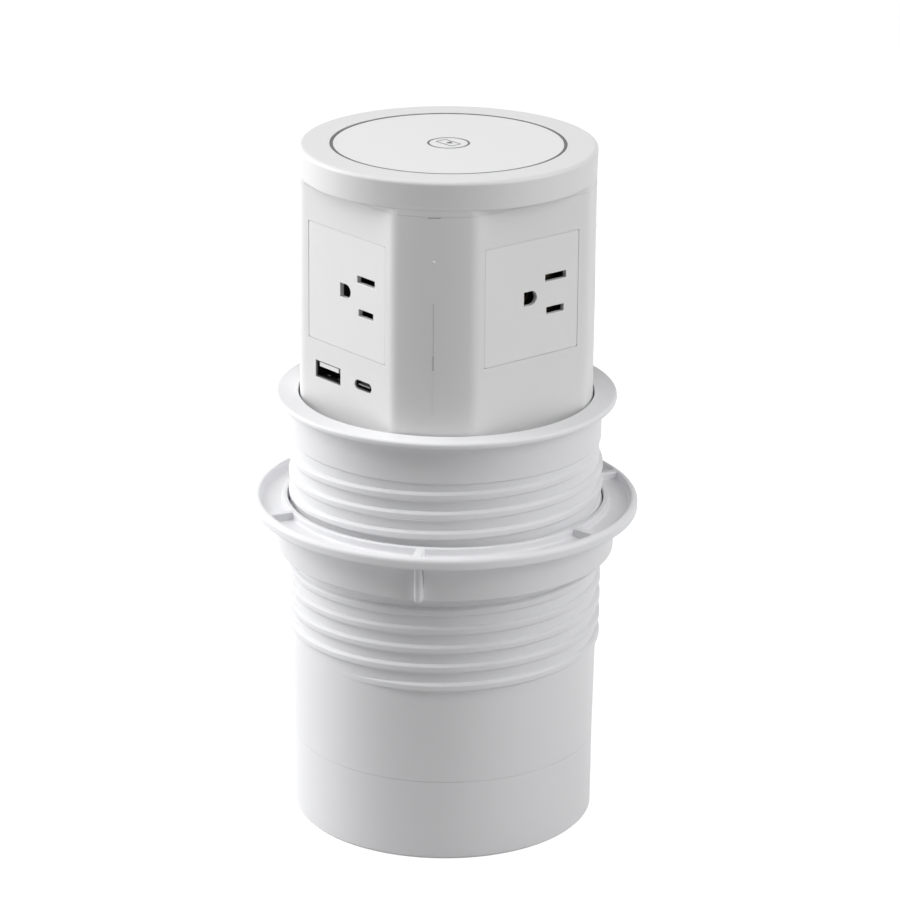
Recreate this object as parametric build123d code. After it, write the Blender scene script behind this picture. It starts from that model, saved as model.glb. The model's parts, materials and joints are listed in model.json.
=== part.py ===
from build123d import *
import os

# A pop up desk socket, raised: a threaded barrel hangs in a round cut-out by its collar, a clamp nut
# holds it from below, and a motor in the base lifts a tower with four sockets, two USB ports and a
# charging pad. Millimetres, +Z up, origin at the centre of the underside. The USB face looks along -Y.

# Heights of the whole
seam_z = 32.0
collar_top_z = 170.0
lift_travel = 96.5

# Clearances and shared small sizes
overrun = 1.0
running_gap = 0.1
seat_gap = 0.05
slide_gap = 0.3
panel_gap = 0.15

# Barrel and collar
barrel_radius = 59.4
barrel_wall = 2.4
barrel_draft = 0.6
collar_reach = 5.6
collar_thickness = 2.3
collar_edge_round = 1.1
collar_root_round = 1.2
plain_length = 15.1
pocket_clearance = 0.4
pocket_spare_depth = 0.7
lip_width = 1.7
lip_height = 2.0
spigot_height = 4.0

# External thread, right-handed and single-start, with its ends faded into the wall
thread_pitch = 7.6
thread_root_step = 0.7
thread_height = 1.4
thread_rise = 38.2
thread_top_gap = 3.6
thread_start_angle = -87.0
thread_crest_width = 2.1
thread_base_width = 5.8
thread_root_depth = 1.0
thread_fade_extra = 7.2
thread_fade_spare = 0.25

# Bottom cup
cup_draft = 0.2
cup_wall = 2.6
cup_floor = 3.0
cup_edge_chamfer = 1.0
boss_radius = 3.5
boss_inset = 10.0
boss_pilot_radius = 1.3

# Cord gland in the wall of the cup, on the +Y side
gland_z = 14.0
gland_bore_radius = 3.6
gland_neck_wall = 1.6
gland_flange_width = 2.2
gland_flange_thickness = 1.8
gland_pad_width = 1.2
gland_pad_height = 0.4
gland_pad_depth = 4.0

# Drive plate, gear motor and screw
plate_thickness = 3.0
bearing_radius = 8.0
gearbox_radius = 18.5
gearbox_height = 12.0
motor_radius = 13.8
motor_floor_gap = 4.0
motor_boss_radius = 4.0
motor_boss_height = 2.0
motor_edge_round = 1.5
screw_radius = 4.0
screw_journal_radius = 3.0
screw_journal_depth = 9.0
screw_end_chamfer = 0.8
screw_spare_length = 2.5
rod_radius = 3.0
rod_inset = 8.0
rod_end_chamfer = 0.6
rod_socket_depth = 2.0

# Countersunk and pan head screws
fastener_radius = 1.25
fastener_length = 12.0
countersink_radius = 2.6
pan_radius = 2.7
pan_height = 1.9

# Control board and terminal block, between the motor and the cup's wall
board_thickness = 1.6
control_boss_gap = 5.0
control_motor_gap = 7.2
control_wall_gap = 10.3
standoff_height = 6.0
standoff_radius = 2.4
standoff_inset = 3.5
terminal_width_share = 0.46
terminal_depth = 9.0
terminal_height = 10.0
terminal_way_share = 0.6
terminal_way_depth = 3.0
terminal_ways = 3
relay_width_share = 0.17
relay_depth = 12.0
relay_height = 9.0

# Tower shell
tower_gap = 0.6
flat_depth = 7.1
flat_round = 8.0
shell_wall = 2.4
lowered_gap = 1.0
shell_boss_radius = 3.2
shell_boss_inset = 7.3
shell_boss_length = 16.0
side_count = 4

# Tower base, drive nut and guide bushes
base_thickness = 4.0
nut_body_radius = 7.0
nut_flange_radius = 13.0
nut_flange_thickness = 3.0
nut_height_above = 9.0
nut_screw_count = 3
nut_screw_length = 5.5
bush_body_radius = 5.0
bush_flange_radius = 7.0
bush_flange_thickness = 1.5
bush_height_above = 8.5

# Socket modules
module_size = 45.0
module_top_margin = 15.9
module_proud = 0.3
module_thickness = 2.2
module_corner_round = 0.8
module_edge_chamfer = 0.4
housing_side_inset = 3.5
housing_top_inset = 2.5
housing_corner_gap = 4.9
pattern_rise = 0.3
ground_offset = -0.3
ground_radius = 2.6
ground_flat_reach = 3.3
blade_offset = 11.5
blade_rise = 6.35
neutral_length = 10.2
line_length = 8.5
slot_height = 2.8
blade_pocket_height = 4.4
blade_pocket_spare = 1.2
pocket_depth_share = 0.68
contact_leaf = 0.6
contact_depth_share = 0.73
ground_contact_wall = 0.6
ground_pocket_radius = 3.8

# USB ports
usb_drop = 11.5
usb_a_offset = -11.0
usb_a_width = 14.6
usb_a_height = 6.4
usb_c_offset = 10.0
usb_c_width = 9.6
usb_c_height = 3.5
usb_wall = 0.4
usb_depth = 12.4
usb_inset = 0.4
usb_tongue_width = 11.6
usb_tongue_thickness = 1.8
usb_tongue_inset = 1.2
usb_c_tongue_width = 6.7
usb_c_tongue_thickness = 0.7
usb_board_width = 40.0
usb_board_height = 17.0

# Power board inside the tower
power_headroom = 5.7
power_length = 34.0
power_width = 36.0
power_rib_depth = 9.0
power_rib_thickness = 2.0
power_rib_y = 14.0
transformer_start = 13.6
transformer_length = 18.0
transformer_width = 16.0
transformer_height = 15.0
capacitor_radius = 5.0
capacitor_height = 18.0

# Cap, charging pad and the stack under its ceiling
cap_step = 0.3
cap_edge_round = 1.5
cap_wall = 2.4
cap_ceiling = 1.6
cap_skirt_height = 2.5
cap_shelf = 1.6
cap_boss_radius = 3.4
cap_boss_inset = 8.2
pad_inset = 12.8
pad_thickness = 2.5
pad_sink = 0.15
pad_edge_round = 0.2
ring_width = 1.0
coil_outer_radius = 22.0
coil_inner_radius = 10.5
coil_thickness = 1.5
ferrite_radius = 25.0
ferrite_thickness = 0.8
charger_radius = 30.0
chip_width = 9.0
chip_height = 1.2
stack_gap = 1.45

# Clamp nut
worktop_gap = 39.5
clamp_bore_clearance = 0.5
clamp_skirt_wall = 4.1
clamp_skirt_length = 15.5
clamp_flange_reach = 9.1
clamp_flange_height = 4.7
clamp_edge_round = 1.2
clamp_rim_width = 2.6
clamp_inner_rim_width = 2.1
clamp_channel_depth = 3.0
clamp_rib_width = 3.3
clamp_rib_count = 6
clamp_rib_angle = -48.3
clamp_fin_width = 3.3
clamp_fin_reach = 1.6
clamp_fin_count = 3
clamp_fin_chamfer = 1.4
clamp_root_round = 1.5

# Radii worked out from the barrel's
thread_root_radius = barrel_radius - thread_root_step
thread_crest_radius = thread_root_radius + thread_height
barrel_seam_radius = thread_root_radius - barrel_draft
barrel_bore_radius = thread_root_radius - barrel_wall
collar_radius = barrel_radius + collar_reach
cup_bottom_radius = barrel_seam_radius - cup_draft
cup_bore_radius = cup_bottom_radius - cup_wall
plate_radius = barrel_bore_radius - slide_gap
boss_circle_radius = plate_radius - boss_inset
rod_circle_radius = boss_circle_radius - rod_inset
tower_radius = barrel_bore_radius - tower_gap
shell_boss_circle = tower_radius - shell_boss_inset
flat_distance = tower_radius - flat_depth
inner_flat = flat_distance - shell_wall
cap_radius = tower_radius + cap_step
cap_boss_circle = cap_radius - cap_boss_inset
pocket_radius = cap_radius + pocket_clearance
pad_radius = cap_radius - pad_inset
clamp_bore_radius = thread_crest_radius + clamp_bore_clearance
clamp_skirt_radius = clamp_bore_radius + clamp_skirt_wall
clamp_flange_radius = clamp_skirt_radius + clamp_flange_reach
gland_neck_radius = gland_bore_radius + gland_neck_wall
gland_flange_radius = gland_neck_radius + gland_flange_width
nut_screw_circle = (nut_body_radius + nut_flange_radius) / 2

# Heights worked out from the seam, the collar and the travel
collar_bottom_z = collar_top_z - collar_thickness
plain_bottom_z = collar_bottom_z - plain_length
thread_start_z = seam_z + thread_rise
thread_length = plain_bottom_z - thread_top_gap - thread_start_z
lip_bottom_z = seam_z + spigot_height
plate_bottom_z = lip_bottom_z + lip_height
plate_top_z = plate_bottom_z + plate_thickness
gearbox_bottom_z = plate_bottom_z - gearbox_height
motor_bottom_z = cup_floor + motor_floor_gap + motor_boss_height
control_bottom_z = cup_floor + standoff_height
control_top_z = control_bottom_z + board_thickness
shell_bottom_z = plate_top_z + lowered_gap + lift_travel
base_top_z = shell_bottom_z + base_thickness
screw_top_z = base_top_z + nut_height_above + screw_spare_length
cap_top_z = collar_top_z + lift_travel
pad_low_z = cap_top_z - pad_thickness - pad_sink
ceiling_z = pad_low_z - cap_ceiling
coil_low_z = ceiling_z - coil_thickness
ferrite_low_z = coil_low_z - ferrite_thickness
charger_low_z = ferrite_low_z - board_thickness
cap_under_z = charger_low_z - chip_height - stack_gap
cap_seam_z = cap_under_z - cap_skirt_height
deck_z = cap_seam_z - shell_wall
pocket_floor_z = collar_top_z - (cap_top_z - cap_under_z) - pocket_spare_depth
module_z = cap_under_z - module_top_margin - module_size / 2
housing_width = module_size - 2 * housing_side_inset
housing_height = module_size - 2 * housing_top_inset
usb_z = module_z - module_size / 2 - usb_drop
power_z = module_z - housing_height / 2 - power_headroom - capacitor_height - board_thickness
nut_top_z = collar_bottom_z - worktop_gap
nut_under_z = nut_top_z - clamp_flange_height
nut_bottom_z = nut_under_z - clamp_skirt_length

# Depths behind the socket faces, and the control board's place
module_back = flat_distance + module_proud - module_thickness
housing_back = housing_width / 2 + housing_corner_gap
pocket_depth = (module_back - housing_back) * pocket_depth_share
contact_back = module_back - pocket_depth
contact_front = contact_back + pocket_depth * contact_depth_share
usb_front = flat_distance - usb_inset
usb_back = usb_front - usb_depth
control_near = motor_radius + control_motor_gap
control_far = cup_bore_radius - control_wall_gap
control_depth = control_far - control_near
control_y = (control_far + control_near) / 2
corner_reach = boss_circle_radius * 0.5 ** 0.5
control_width = 2 * (corner_reach - boss_radius - control_boss_gap)
terminal_width = control_width * terminal_width_share
relay_width = control_width * relay_width_share
corner_angles = [45, 135, 225, 315]
rod_angles = [-45, 135]
nut_screw_angles = [index * 360 / nut_screw_count for index in range(nut_screw_count)]


def turned(points, rounds=()):
    """Turn a closed outline of (radius, height) points about Z, with each named corner rounded first."""
    outline = make_face(Plane.XZ * Polyline(*points, close=True))
    for corner, radius in rounds:
        place = Vector(points[corner][0], 0, points[corner][1])
        near = outline.vertices().sort_by_distance(place)[0]
        outline = fillet(near, radius)
    return revolve(outline, Axis.Z)


def post(radius, low, high):
    """A round post on the Z axis between two heights."""
    return Pos(0, 0, low) * extrude(Circle(radius), high - low)


def around(angles, radius, shape):
    """Copies of a shape on a circle about Z, each facing outward."""
    return [Rot(0, 0, angle) * Pos(radius, 0, 0) * shape for angle in angles]


def block(width, depth, low, high, x=0, y=0):
    """An upright block centred on (x, y) between two heights."""
    return Pos(x, y, low) * extrude(Rectangle(width, depth), high - low)


def on_front(offset, height):
    """The place on the -Y side where X runs to the right, Y runs up and Z points outward."""
    return Plane(origin=(offset, 0, height), x_dir=(1, 0, 0), z_dir=(0, -1, 0))


def ahead(sketch, offset, height, back, front):
    """A sketch on the -Y side, extruded between two distances from the Z axis."""
    return extrude(on_front(offset, height).offset(back) * sketch, front - back)


def countersunk(top_z, length):
    """A countersunk screw whose head is flush with the given height."""
    cone = countersink_radius - fastener_radius
    return turned([
        (0, top_z), (countersink_radius, top_z), (fastener_radius, top_z - cone),
        (fastener_radius, top_z - length), (0, top_z - length)])


def pan_screw(seat_z, length, up):
    """A pan head screw under or over its seat; the shank points up or down from the seat."""
    way = 1 if up else -1
    return turned([
        (0, seat_z - way * pan_height), (pan_radius, seat_z - way * pan_height), (pan_radius, seat_z),
        (fastener_radius, seat_z), (fastener_radius, seat_z + way * length), (0, seat_z + way * length)])


def thread_ridge():
    """The helical ridge of the thread, sunk into the barrel's wall, with both ends faded into it."""
    root = thread_root_radius
    path = Helix(thread_pitch, thread_length, root)
    half_base = thread_base_width / 2
    half_crest = thread_crest_width / 2
    profile = make_face(Polyline(
        (-thread_root_depth, -half_base), (thread_height, -half_crest), (thread_height, half_crest),
        (-thread_root_depth, half_base), close=True))
    start = Plane(origin=(root, 0, 0), x_dir=(1, 0, 0), z_dir=(0, -1, 0))
    ridge = sweep(start * profile, path=path, is_frenet=True)
    last_angle = 360 * thread_length / thread_pitch
    for height, angle in [(0, 0), (thread_length, last_angle)]:
        ridge = ridge - Pos(0, 0, height) * Rot(0, 0, angle) * fade_cutter()
    return Pos(0, 0, thread_start_z) * Rot(0, 0, thread_start_angle) * ridge


def fade_cutter():
    """A slab with an eccentric hole, which takes the thread down to the wall over its last stretch."""
    fade_radius = thread_root_radius + thread_fade_extra
    low = -thread_base_width / 2 - thread_fade_spare
    slab = post(thread_crest_radius + overrun, low, -low)
    hole = post(fade_radius, low - overrun, overrun - low)
    return slab - Pos(thread_root_radius - thread_fade_spare - fade_radius, 0, 0) * hole


def threaded_barrel():
    """The outer tube with its collar, the pocket that takes the cap, and the thread."""
    tube = turned([
        (barrel_bore_radius, seam_z),
        (barrel_bore_radius, lip_bottom_z),
        (barrel_bore_radius - lip_width, lip_bottom_z),
        (barrel_bore_radius - lip_width, plate_bottom_z),
        (barrel_bore_radius, plate_bottom_z),
        (barrel_bore_radius, pocket_floor_z),
        (pocket_radius, pocket_floor_z),
        (pocket_radius, collar_top_z),
        (collar_radius, collar_top_z),
        (collar_radius, collar_bottom_z),
        (barrel_radius, collar_bottom_z),
        (barrel_radius, plain_bottom_z),
        (thread_root_radius, plain_bottom_z - thread_root_step),
        (thread_root_radius, thread_start_z - thread_base_width / 2),
        (barrel_seam_radius, seam_z),
    ], rounds=[(8, collar_edge_round), (10, collar_root_round)])
    return tube + thread_ridge()


def bottom_cup():
    """The base cup: floor, wall, spigot, four plate bosses, board standoffs and the pad for the gland."""
    spigot = barrel_bore_radius - panel_gap
    cup = turned([
        (0, 0),
        (cup_bottom_radius - cup_edge_chamfer, 0),
        (cup_bottom_radius, cup_edge_chamfer),
        (barrel_seam_radius, seam_z),
        (spigot, seam_z),
        (spigot, lip_bottom_z),
        (spigot - lip_width, lip_bottom_z),
        (cup_bore_radius - cup_edge_chamfer, seam_z),
        (cup_bore_radius, seam_z - cup_wall),
        (cup_bore_radius, cup_floor),
        (0, cup_floor),
    ])
    boss = post(boss_radius, cup_floor, plate_bottom_z) - post(
        boss_pilot_radius, plate_bottom_z - fastener_length, plate_bottom_z)
    cup = cup + around(corner_angles, boss_circle_radius, boss)
    x = control_width / 2 - standoff_inset
    y = control_depth / 2 - standoff_inset
    standoff = post(standoff_radius, cup_floor, control_bottom_z)
    cup = cup + [Pos(i * x, control_y + j * y, 0) * standoff for i in (-1, 1) for j in (-1, 1)]
    outside = cup_bottom_radius + gland_pad_height
    inside = outside - gland_pad_depth
    pad = ahead(Circle(gland_flange_radius + gland_pad_width), 0, gland_z, inside, outside)
    hole = ahead(Circle(gland_neck_radius), 0, gland_z, inside - gland_pad_depth, outside + overrun)
    return cup + Rot(0, 0, 180) * pad - Rot(0, 0, 180) * hole


def cord_gland():
    """A rubber bush through the wall of the cup, with a flange inside and outside."""
    outside = cup_bottom_radius + gland_pad_height
    inside = outside - gland_pad_depth
    neck = gland_neck_radius - seat_gap
    bush = revolve(make_face(Polyline(
        (gland_bore_radius, inside - gland_flange_thickness),
        (gland_flange_radius, inside - gland_flange_thickness),
        (gland_flange_radius, inside),
        (neck, inside),
        (neck, outside),
        (gland_flange_radius, outside),
        (gland_flange_radius, outside + gland_flange_thickness),
        (gland_bore_radius, outside + gland_flange_thickness), close=True)), Axis.Y)
    return Pos(0, 0, gland_z) * bush


def drive_plate():
    """The round plate over the motor, with a seat for the bearing, two rod sockets and countersinks."""
    disc = post(plate_radius, plate_bottom_z, plate_top_z)
    disc = disc - post(bearing_radius + seat_gap, plate_bottom_z - overrun, plate_top_z + overrun)
    socket = post(rod_radius + seat_gap, plate_top_z - rod_socket_depth, plate_top_z + overrun)
    disc = disc - around(rod_angles, rod_circle_radius, socket)
    wide = countersink_radius + seat_gap
    narrow = fastener_radius + seat_gap
    sink = turned([
        (0, plate_top_z + overrun), (wide, plate_top_z + overrun), (wide, plate_top_z),
        (narrow, plate_top_z - wide + narrow), (narrow, plate_bottom_z - overrun),
        (0, plate_bottom_z - overrun)])
    return disc - around(corner_angles, boss_circle_radius, sink)


def plate_screws():
    """The four countersunk screws that hold the drive plate and trap the barrel's lip."""
    return around(corner_angles, boss_circle_radius, countersunk(plate_top_z, fastener_length))


def screw_bearing():
    """The ball bearing that carries the foot of the lead screw, as a closed ring."""
    ring = post(bearing_radius, plate_bottom_z, plate_top_z)
    return ring - post(screw_journal_radius + seat_gap, plate_bottom_z - overrun, plate_top_z + overrun)


def gearbox():
    """The round gearbox under the drive plate, with a socket for the screw's journal."""
    case = turned([
        (0, gearbox_bottom_z), (gearbox_radius, gearbox_bottom_z), (gearbox_radius, plate_bottom_z),
        (0, plate_bottom_z),
    ], rounds=[(1, motor_edge_round)])
    return case - post(screw_journal_radius + running_gap, plate_bottom_z - screw_journal_depth,
                       plate_bottom_z + overrun)


def drive_motor():
    """The motor can under the gearbox, with the round boss of its rear bearing."""
    low = motor_bottom_z
    return turned([
        (0, low - motor_boss_height), (motor_boss_radius, low - motor_boss_height),
        (motor_boss_radius, low), (motor_radius, low), (motor_radius, gearbox_bottom_z),
        (0, gearbox_bottom_z),
    ], rounds=[(3, motor_edge_round)])


def lead_screw():
    """The lift screw: a journal in the bearing and gearbox, a shoulder, and the screw itself."""
    foot = plate_bottom_z - screw_journal_depth + running_gap
    shoulder = plate_top_z + running_gap
    return turned([
        (0, foot), (screw_journal_radius, foot), (screw_journal_radius, shoulder),
        (screw_radius, shoulder), (screw_radius, screw_top_z - screw_end_chamfer),
        (screw_radius - screw_end_chamfer, screw_top_z), (0, screw_top_z)])


def guide_rod(angle):
    """One steel rod that stands in the drive plate and keeps the tower from turning."""
    foot = plate_top_z - rod_socket_depth
    rod = turned([
        (0, foot), (rod_radius, foot), (rod_radius, screw_top_z - rod_end_chamfer),
        (rod_radius - rod_end_chamfer, screw_top_z), (0, screw_top_z)])
    return Rot(0, 0, angle) * Pos(rod_circle_radius, 0, 0) * rod


def control_board():
    """The motor's control board on its standoffs, with two relays."""
    top = control_top_z
    board = block(control_width, control_depth, control_bottom_z, top, y=control_y)
    relay_x = (control_width - relay_width) / 2 - standoff_inset
    for x in (-relay_x, relay_x):
        board = board + block(relay_width, relay_depth, top, top + relay_height, x, control_y)
    return board


def terminal_block():
    """The screw terminals where the mains cord ends, on the control board."""
    top = control_top_z + terminal_height
    body = block(terminal_width, terminal_depth, control_top_z, top, y=control_y)
    pitch = terminal_width / terminal_ways
    way_width = pitch * terminal_way_share
    for way in range(terminal_ways):
        x = (way - (terminal_ways - 1) / 2) * pitch
        body = body - block(way_width, way_width, top - terminal_way_depth, top + overrun, x, control_y)
    return body


def tower_outline(inset=0):
    """The round section with a flat on each of its four sides, drawn in by an inset."""
    side = 2 * (flat_distance - inset)
    section = Circle(tower_radius - inset) & Rectangle(side, side)
    return fillet(section.vertices(), flat_round - inset)


def usb_openings(clearance=0):
    """The outlines of the two USB ports, each with its place along X."""
    wide = usb_a_width + 2 * clearance
    high = usb_a_height + 2 * clearance
    small = usb_c_height + 2 * clearance
    return [(usb_a_offset, Rectangle(wide, high)),
            (usb_c_offset, SlotOverall(usb_c_width + 2 * clearance, small))]


def tower_shell():
    """The tower's housing: walls, top deck, module windows, USB holes, screw bosses and board ribs."""
    shell = Pos(0, 0, shell_bottom_z) * extrude(tower_outline(), cap_seam_z - shell_bottom_z)
    hollow = Pos(0, 0, shell_bottom_z) * extrude(tower_outline(shell_wall), deck_z - shell_bottom_z)
    shell = shell - hollow
    window = module_size + 2 * panel_gap
    opening = ahead(Rectangle(window, window), 0, module_z, inner_flat - overrun, flat_distance + overrun)
    for side in range(side_count):
        shell = shell - Rot(0, 0, side * 90) * opening
    for offset, sketch in usb_openings(panel_gap):
        shell = shell - ahead(sketch, offset, usb_z, inner_flat - overrun, flat_distance + overrun)
    reach = tower_radius - shell_wall / 2 - shell_boss_circle
    web = Pos(reach / 2, 0) * Rectangle(reach, 2 * shell_boss_radius)
    boss = Pos(0, 0, base_top_z) * extrude(Circle(shell_boss_radius) + web, shell_boss_length)
    pilot = post(boss_pilot_radius, base_top_z - overrun, base_top_z + fastener_length)
    shell = shell + around(corner_angles, shell_boss_circle, boss)
    shell = shell - around(corner_angles, shell_boss_circle, pilot)
    hole = post(fastener_radius + seat_gap, deck_z - overrun, cap_seam_z + overrun)
    shell = shell - around(corner_angles, cap_boss_circle, hole)
    rib = Plane.XZ * make_face(Polyline(
        (0, 0), (power_length, 0), (power_length, -power_rib_thickness), (0, -power_rib_depth), close=True))
    rib = extrude(rib, power_rib_thickness / 2, both=True)
    for y in (-power_rib_y, power_rib_y):
        shell = shell + Pos(-inner_flat - seat_gap, y, power_z) * rib
    return shell


def tower_base():
    """The plate that closes the foot of the tower and carries the drive nut and the bushes."""
    plate = Pos(0, 0, shell_bottom_z) * extrude(tower_outline(shell_wall + panel_gap), base_thickness)
    low = shell_bottom_z - overrun
    high = base_top_z + overrun
    plate = plate - post(nut_body_radius + seat_gap, low, high)
    plate = plate - around(rod_angles, rod_circle_radius, post(bush_body_radius + seat_gap, low, high))
    plate = plate - around(nut_screw_angles, nut_screw_circle, post(fastener_radius + seat_gap, low, high))
    wide = countersink_radius + seat_gap
    narrow = fastener_radius + seat_gap
    sink = turned([
        (0, low), (wide, low), (wide, shell_bottom_z), (narrow, shell_bottom_z + wide - narrow),
        (narrow, high), (0, high)])
    return plate - around(corner_angles, shell_boss_circle, sink)


def base_screws():
    """The four countersunk screws that hold the tower's base to the shell."""
    screw = mirror(countersunk(0, fastener_length), Plane.XY)
    return around(corner_angles, shell_boss_circle, Pos(0, 0, shell_bottom_z) * screw)


def flanged_sleeve(bore, body, flange, flange_thickness, height_above):
    """A sleeve whose flange rests on the tower's base and whose body passes through it."""
    low = shell_bottom_z + running_gap
    return turned([
        (bore, low), (body, low), (body, base_top_z), (flange, base_top_z),
        (flange, base_top_z + flange_thickness), (body, base_top_z + flange_thickness),
        (body, base_top_z + height_above), (bore, base_top_z + height_above)])


def drive_nut():
    """The brass nut that climbs the lead screw, with three holes through its flange."""
    nut = flanged_sleeve(screw_radius + running_gap, nut_body_radius, nut_flange_radius,
                         nut_flange_thickness, nut_height_above)
    flange_top_z = base_top_z + nut_flange_thickness
    hole = post(fastener_radius + seat_gap, base_top_z - overrun, flange_top_z + overrun)
    return nut - around(nut_screw_angles, nut_screw_circle, hole)


def nut_screws():
    """The three pan head screws through the drive nut's flange."""
    screw = pan_screw(base_top_z + nut_flange_thickness, nut_screw_length, False)
    return around(nut_screw_angles, nut_screw_circle, screw)


def guide_bush(angle):
    """One flanged bush that slides on a guide rod."""
    bush = flanged_sleeve(rod_radius + running_gap, bush_body_radius, bush_flange_radius,
                          bush_flange_thickness, bush_height_above)
    return Rot(0, 0, angle) * Pos(rod_circle_radius, 0, 0) * bush


def ground_hole(radius, reach):
    """The D shaped ground hole, flat on the side away from the blades."""
    tail = Pos(-reach / 2, 0) * Rectangle(reach, 2 * radius)
    return Pos(ground_offset, 0) * (Circle(radius) + tail)


def blade_slots(height, spare=0):
    """The outlines of the neutral slot and the shorter line slot."""
    neutral = Pos(blade_offset, blade_rise) * Rectangle(neutral_length + spare, height)
    line = Pos(blade_offset, -blade_rise) * Rectangle(line_length + spare, height)
    return [neutral, line]


def socket_face(side):
    """The square face of one socket module, with its ground hole and two blade slots."""
    square = RectangleRounded(module_size, module_size, module_corner_round)
    face = ahead(square, 0, module_z, module_back, flat_distance + module_proud)
    outer = face.faces().sort_by(Axis.Y)[0]
    face = chamfer(outer.edges(), module_edge_chamfer)
    height = module_z + pattern_rise
    for sketch in [ground_hole(ground_radius, ground_flat_reach)] + blade_slots(slot_height):
        face = face - ahead(sketch, 0, height, module_back - overrun, flat_distance + overrun)
    return Rot(0, 0, side * 90) * face


def socket_housing(side):
    """The insulating block behind one face, with a pocket for each of the three contacts."""
    body = ahead(Rectangle(housing_width, housing_height), 0, module_z, housing_back, module_back)
    height = module_z + pattern_rise
    pockets = blade_slots(blade_pocket_height, blade_pocket_spare)
    pockets.append(Pos(ground_offset, 0) * Circle(ground_pocket_radius))
    for sketch in pockets:
        body = body - ahead(sketch, 0, height, contact_back, module_back + overrun)
    return Rot(0, 0, side * 90) * body


def socket_contacts(side):
    """Three brass contacts: a forked clip behind each blade slot and a sleeve for the ground pin."""
    height = module_z + pattern_rise
    floor = contact_back + contact_leaf
    mouth = contact_front + overrun
    outer = blade_pocket_height - 2 * seat_gap
    clips = []
    fork = outer - 2 * contact_leaf
    for solid, gap in zip(blade_slots(outer), blade_slots(fork, overrun)):
        clip = ahead(solid, 0, height, contact_back, contact_front)
        clips.append(clip - ahead(gap, 0, height, floor, mouth))
    sleeve_radius = ground_pocket_radius - seat_gap
    place = Pos(ground_offset, 0)
    sleeve = ahead(place * Circle(sleeve_radius), 0, height, contact_back, contact_front)
    bore = place * Circle(sleeve_radius - ground_contact_wall)
    clips.append(sleeve - ahead(bore, 0, height, floor, mouth))
    return [Rot(0, 0, side * 90) * clip for clip in clips]


def usb_shell(index):
    """The metal shell of one USB port, open at the front and closed at the board."""
    offset, outer = usb_openings()[index]
    inner = usb_openings(-usb_wall)[index][1]
    shell = ahead(outer, offset, usb_z, usb_back, usb_front)
    return shell - ahead(inner, offset, usb_z, usb_back + usb_wall, usb_front + overrun)


def usb_a_tongue():
    """The insulating tongue in the upper half of the larger port."""
    rise = usb_a_height / 2 - usb_wall - usb_tongue_thickness / 2
    sketch = Rectangle(usb_tongue_width, usb_tongue_thickness)
    return ahead(sketch, usb_a_offset, usb_z + rise, usb_back + usb_wall, usb_front - usb_tongue_inset)


def usb_c_tongue():
    """The thin centre tongue of the smaller port."""
    sketch = Rectangle(usb_c_tongue_width, usb_c_tongue_thickness)
    return ahead(sketch, usb_c_offset, usb_z, usb_back + usb_wall, usb_front - usb_tongue_inset)


def usb_board():
    """The upright board behind the USB ports, with the two chips of its converter."""
    back = usb_back - board_thickness
    board = ahead(Rectangle(usb_board_width, usb_board_height), 0, usb_z, back, usb_back)
    for offset in (usb_a_offset, usb_c_offset):
        board = board + ahead(Rectangle(chip_width, chip_width), offset, usb_z, back - chip_height, back)
    return board


def power_board():
    """The mains to low voltage board on its two ribs, with a transformer and two capacitors."""
    top = power_z + board_thickness
    board = block(power_length, power_width, power_z, top, x=power_length / 2 - inner_flat)
    x = transformer_start - inner_flat
    board = board + block(transformer_length, transformer_width, top, top + transformer_height, x=x)
    for side in (-1, 1):
        place = Pos(2 * capacitor_radius - inner_flat, side * (power_width / 2 - capacitor_radius), 0)
        board = board + place * post(capacitor_radius, top, top + capacitor_height)
    return board


def top_cap():
    """The round cap: rim, pad pocket, ceiling, screw bosses and a skirt with the outline of the tower."""
    pocket = pad_radius + ring_width + panel_gap
    shelf_z = cap_under_z + cap_shelf
    cap = turned([
        (0, cap_under_z), (tower_radius, cap_under_z), (cap_radius, cap_top_z), (pocket, cap_top_z),
        (pocket, pad_low_z), (0, pad_low_z),
    ], rounds=[(2, cap_edge_round), (3, pad_edge_round)])
    cap = cap + Pos(0, 0, cap_seam_z) * extrude(tower_outline(), cap_skirt_height)
    hollow_low = cap_seam_z - overrun
    hollow = Pos(0, 0, hollow_low) * extrude(tower_outline(cap_wall), shelf_z + overrun - hollow_low)
    cap = cap - hollow - post(tower_radius - cap_wall, shelf_z, ceiling_z)
    boss = post(cap_boss_radius, cap_seam_z, ceiling_z)
    pilot = post(boss_pilot_radius, cap_seam_z - overrun, ceiling_z)
    cap = cap + around(corner_angles, cap_boss_circle, boss)
    return cap - around(corner_angles, cap_boss_circle, pilot)


def cap_screws():
    """The four pan head screws that hold the cap from inside the tower."""
    length = ceiling_z - deck_z - overrun
    return around(corner_angles, cap_boss_circle, pan_screw(deck_z, length, True))


def charging_pad():
    """The round pad that a phone lies on."""
    low = pad_low_z
    top = low + pad_thickness
    return turned([(0, low), (pad_radius, low), (pad_radius, top), (0, top)], rounds=[(2, pad_edge_round)])


def pad_ring():
    """The thin trim ring between the pad and the cap."""
    top = pad_low_z + pad_thickness
    ring = post(pad_radius + ring_width, pad_low_z, top)
    return ring - post(pad_radius + seat_gap, pad_low_z - overrun, top + overrun)


def charging_stack():
    """The coil, the ferrite disc under it and the round charger board, each with its node name."""
    coil = post(coil_outer_radius, coil_low_z, ceiling_z)
    coil = coil - post(coil_inner_radius, coil_low_z - overrun, ceiling_z + overrun)
    board = post(charger_radius, charger_low_z, ferrite_low_z)
    board = board + block(chip_width, chip_width, charger_low_z - chip_height, charger_low_z)
    return {"charging_coil": coil, "ferrite_disc": post(ferrite_radius, ferrite_low_z, coil_low_z),
            "charger_board": board}


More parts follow.
